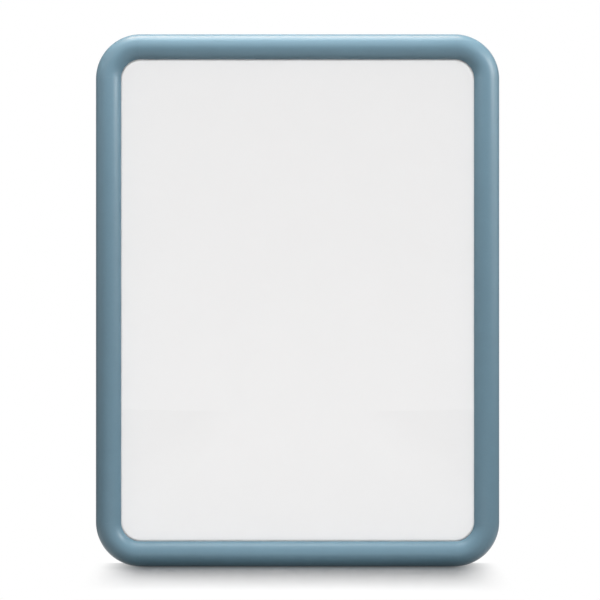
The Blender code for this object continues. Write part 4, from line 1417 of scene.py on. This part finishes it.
def farLight(name, strength, softness, above, right):
    # parallel light, which makes no reflection of its own
    data = assign(bpy.data.lights.new(name, "SUN"), energy=strength, angle=radians(softness))
    return assign(added(name, data), rotation_euler=(pi / 2 - radians(above), 0, radians(right)),
                  visible_glossy=False, visible_transmission=False)


def makeLights(floor):
    # the polished pieces of the lock are lit by the studio's white alone, and the floor stops no far light
    sheets = [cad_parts["tack_facing"], bpy.data.objects["glazingSheet"]]
    polished = [bpy.data.objects[name] for name in ("lockBody", "lockPlug")]
    targets = {
        "floor": receivers("lightFloor", [floor], "INCLUDE"),
        "panel": receivers("lightPanel", sheets, "INCLUDE"),
        "frame": receivers("lightFrame", sheets + polished + [floor], "EXCLUDE"),
    }
    passing = receivers("passFloor", [floor], "EXCLUDE")
    for kind, lamps in ((softbox, softboxes), (farLight, farLights)):
        for name, look in lamps.items():
            linking = kind(name, *look).light_linking
            linking.receiver_collection = targets[lights.get(name, "frame")]
            if kind is farLight:
                linking.blocker_collection = passing


def throughLens(tree):
    # one for rays that show the surroundings: from the camera, in gloss and through glass
    return rays(tree, "ADD", "Camera", "Glossy", "Transmission")


def inGloss(tree):
    # one for rays that a glossy surface throws back, none for those that glass lets through
    return rays(tree, "SUBTRACT", "Glossy", "Transmission")


backdrop = {"shade": 0.75, "from": (0.1, 0.4), "to": (0.93, 0.985)}


def makeWorld():
    # white where it shows; gloss sees it dimmed beside and behind the board, which draws the frame's outline
    b = backdrop
    world = bpy.data.worlds.new("studio")
    world.use_nodes = True
    tree = world.node_tree
    heading = place(tree, "TexCoord").outputs["Generated"]
    back = place(tree, "SeparateXYZ", {"Vector": heading}).outputs["Y"]
    dim = maths(tree, "MULTIPLY", spread(tree, back, 0.0, b["shade"], *b["from"]),
                spread(tree, back, 1.0, 0.0, *b["to"]))
    dim = maths(tree, "MULTIPLY", dim, inGloss(tree))
    strength = maths(tree, "SUBTRACT", spread(tree, throughLens(tree), ambient, 1.0), dim)
    feed(tree, tree.nodes["Background"].inputs, {"Color": (1, 1, 1, 1), "Strength": strength})
    bpy.context.scene.world = world


floorLook = {
    "half": 3.0,
    "level": cadLow.z - 0.1 * mm,
    "roughness": 0.9,
    "colour": (0.9, 0.9, 0.9, 1),
    "bounce": (0.32, 0.32, 0.32, 1),  # what the floor gives back to the object
    "shadowWidth": (0.178, 0.246),  # from the middle: where the shadow starts and ends to fade
    "shadowDepth": (0.17, 0.27),
    "glow": (1.0, 0.07),  # the backdrop's white outside the shadow and in it
    "dimBehind": (0.75, 0.0, 0.12),  # the share of it that gloss loses, and from where to where
    "dimBeside": (0.5, 0.35, 0.6),
}


def paleFloor(tree, look):
    # pale under the object, so that it keeps its shadow, and the backdrop's plain white further out
    seen = throughLens(tree)
    axes = place(tree, "SeparateXYZ", {"Vector": objectPoint(tree)}).outputs
    beside, before = (maths(tree, "ABSOLUTE", axes[axis]) for axis in "XY")
    inside = maths(tree, "MULTIPLY", spread(tree, beside, 1.0, 0.0, *look["shadowWidth"], "SMOOTHSTEP"),
                   spread(tree, before, 1.0, 0.0, *look["shadowDepth"], "SMOOTHSTEP"))
    lost = []
    for distance, (share, start, full) in ((axes["Y"], look["dimBehind"]), (beside, look["dimBeside"])):
        lost.append(spread(tree, distance, 0.0, share, start, full))
    dim = maths(tree, "MULTIPLY", maths(tree, "MAXIMUM", *lost), inGloss(tree))
    strength = maths(tree, "SUBTRACT", 1.0, dim)
    glow = place(tree, "Emission", {"Color": (1, 1, 1, 1), "Strength": strength}).outputs["Emission"]
    overlaid(tree, maths(tree, "MULTIPLY", spread(tree, inside, *look["glow"]), seen), glow)
    colour = mixed(tree, seen, look["bounce"], look["colour"])
    return {"Base Color": colour, "Roughness": look["roughness"], "Specular IOR Level": 0.0}


def makeFloor():
    # a flat square
    reach, level = floorLook["half"], floorLook["level"]
    mesh = bpy.data.meshes.new("floor")
    mesh.from_pydata([(*spot, level) for spot in rectangle(-reach, -reach, reach, reach)], [], [(0, 1, 2, 3)])
    mesh.materials.append(newMaterial("paleFloor", paleFloor, floorLook))
    floor = added("floor", mesh)
    return floor


makeCamera()
makeWorld()
makeLights(makeFloor())
bpy.context.scene.view_settings.view_transform = "Standard"
print("studio: camera, floor and %d lamps" % (len(softboxes) + len(farLights)))
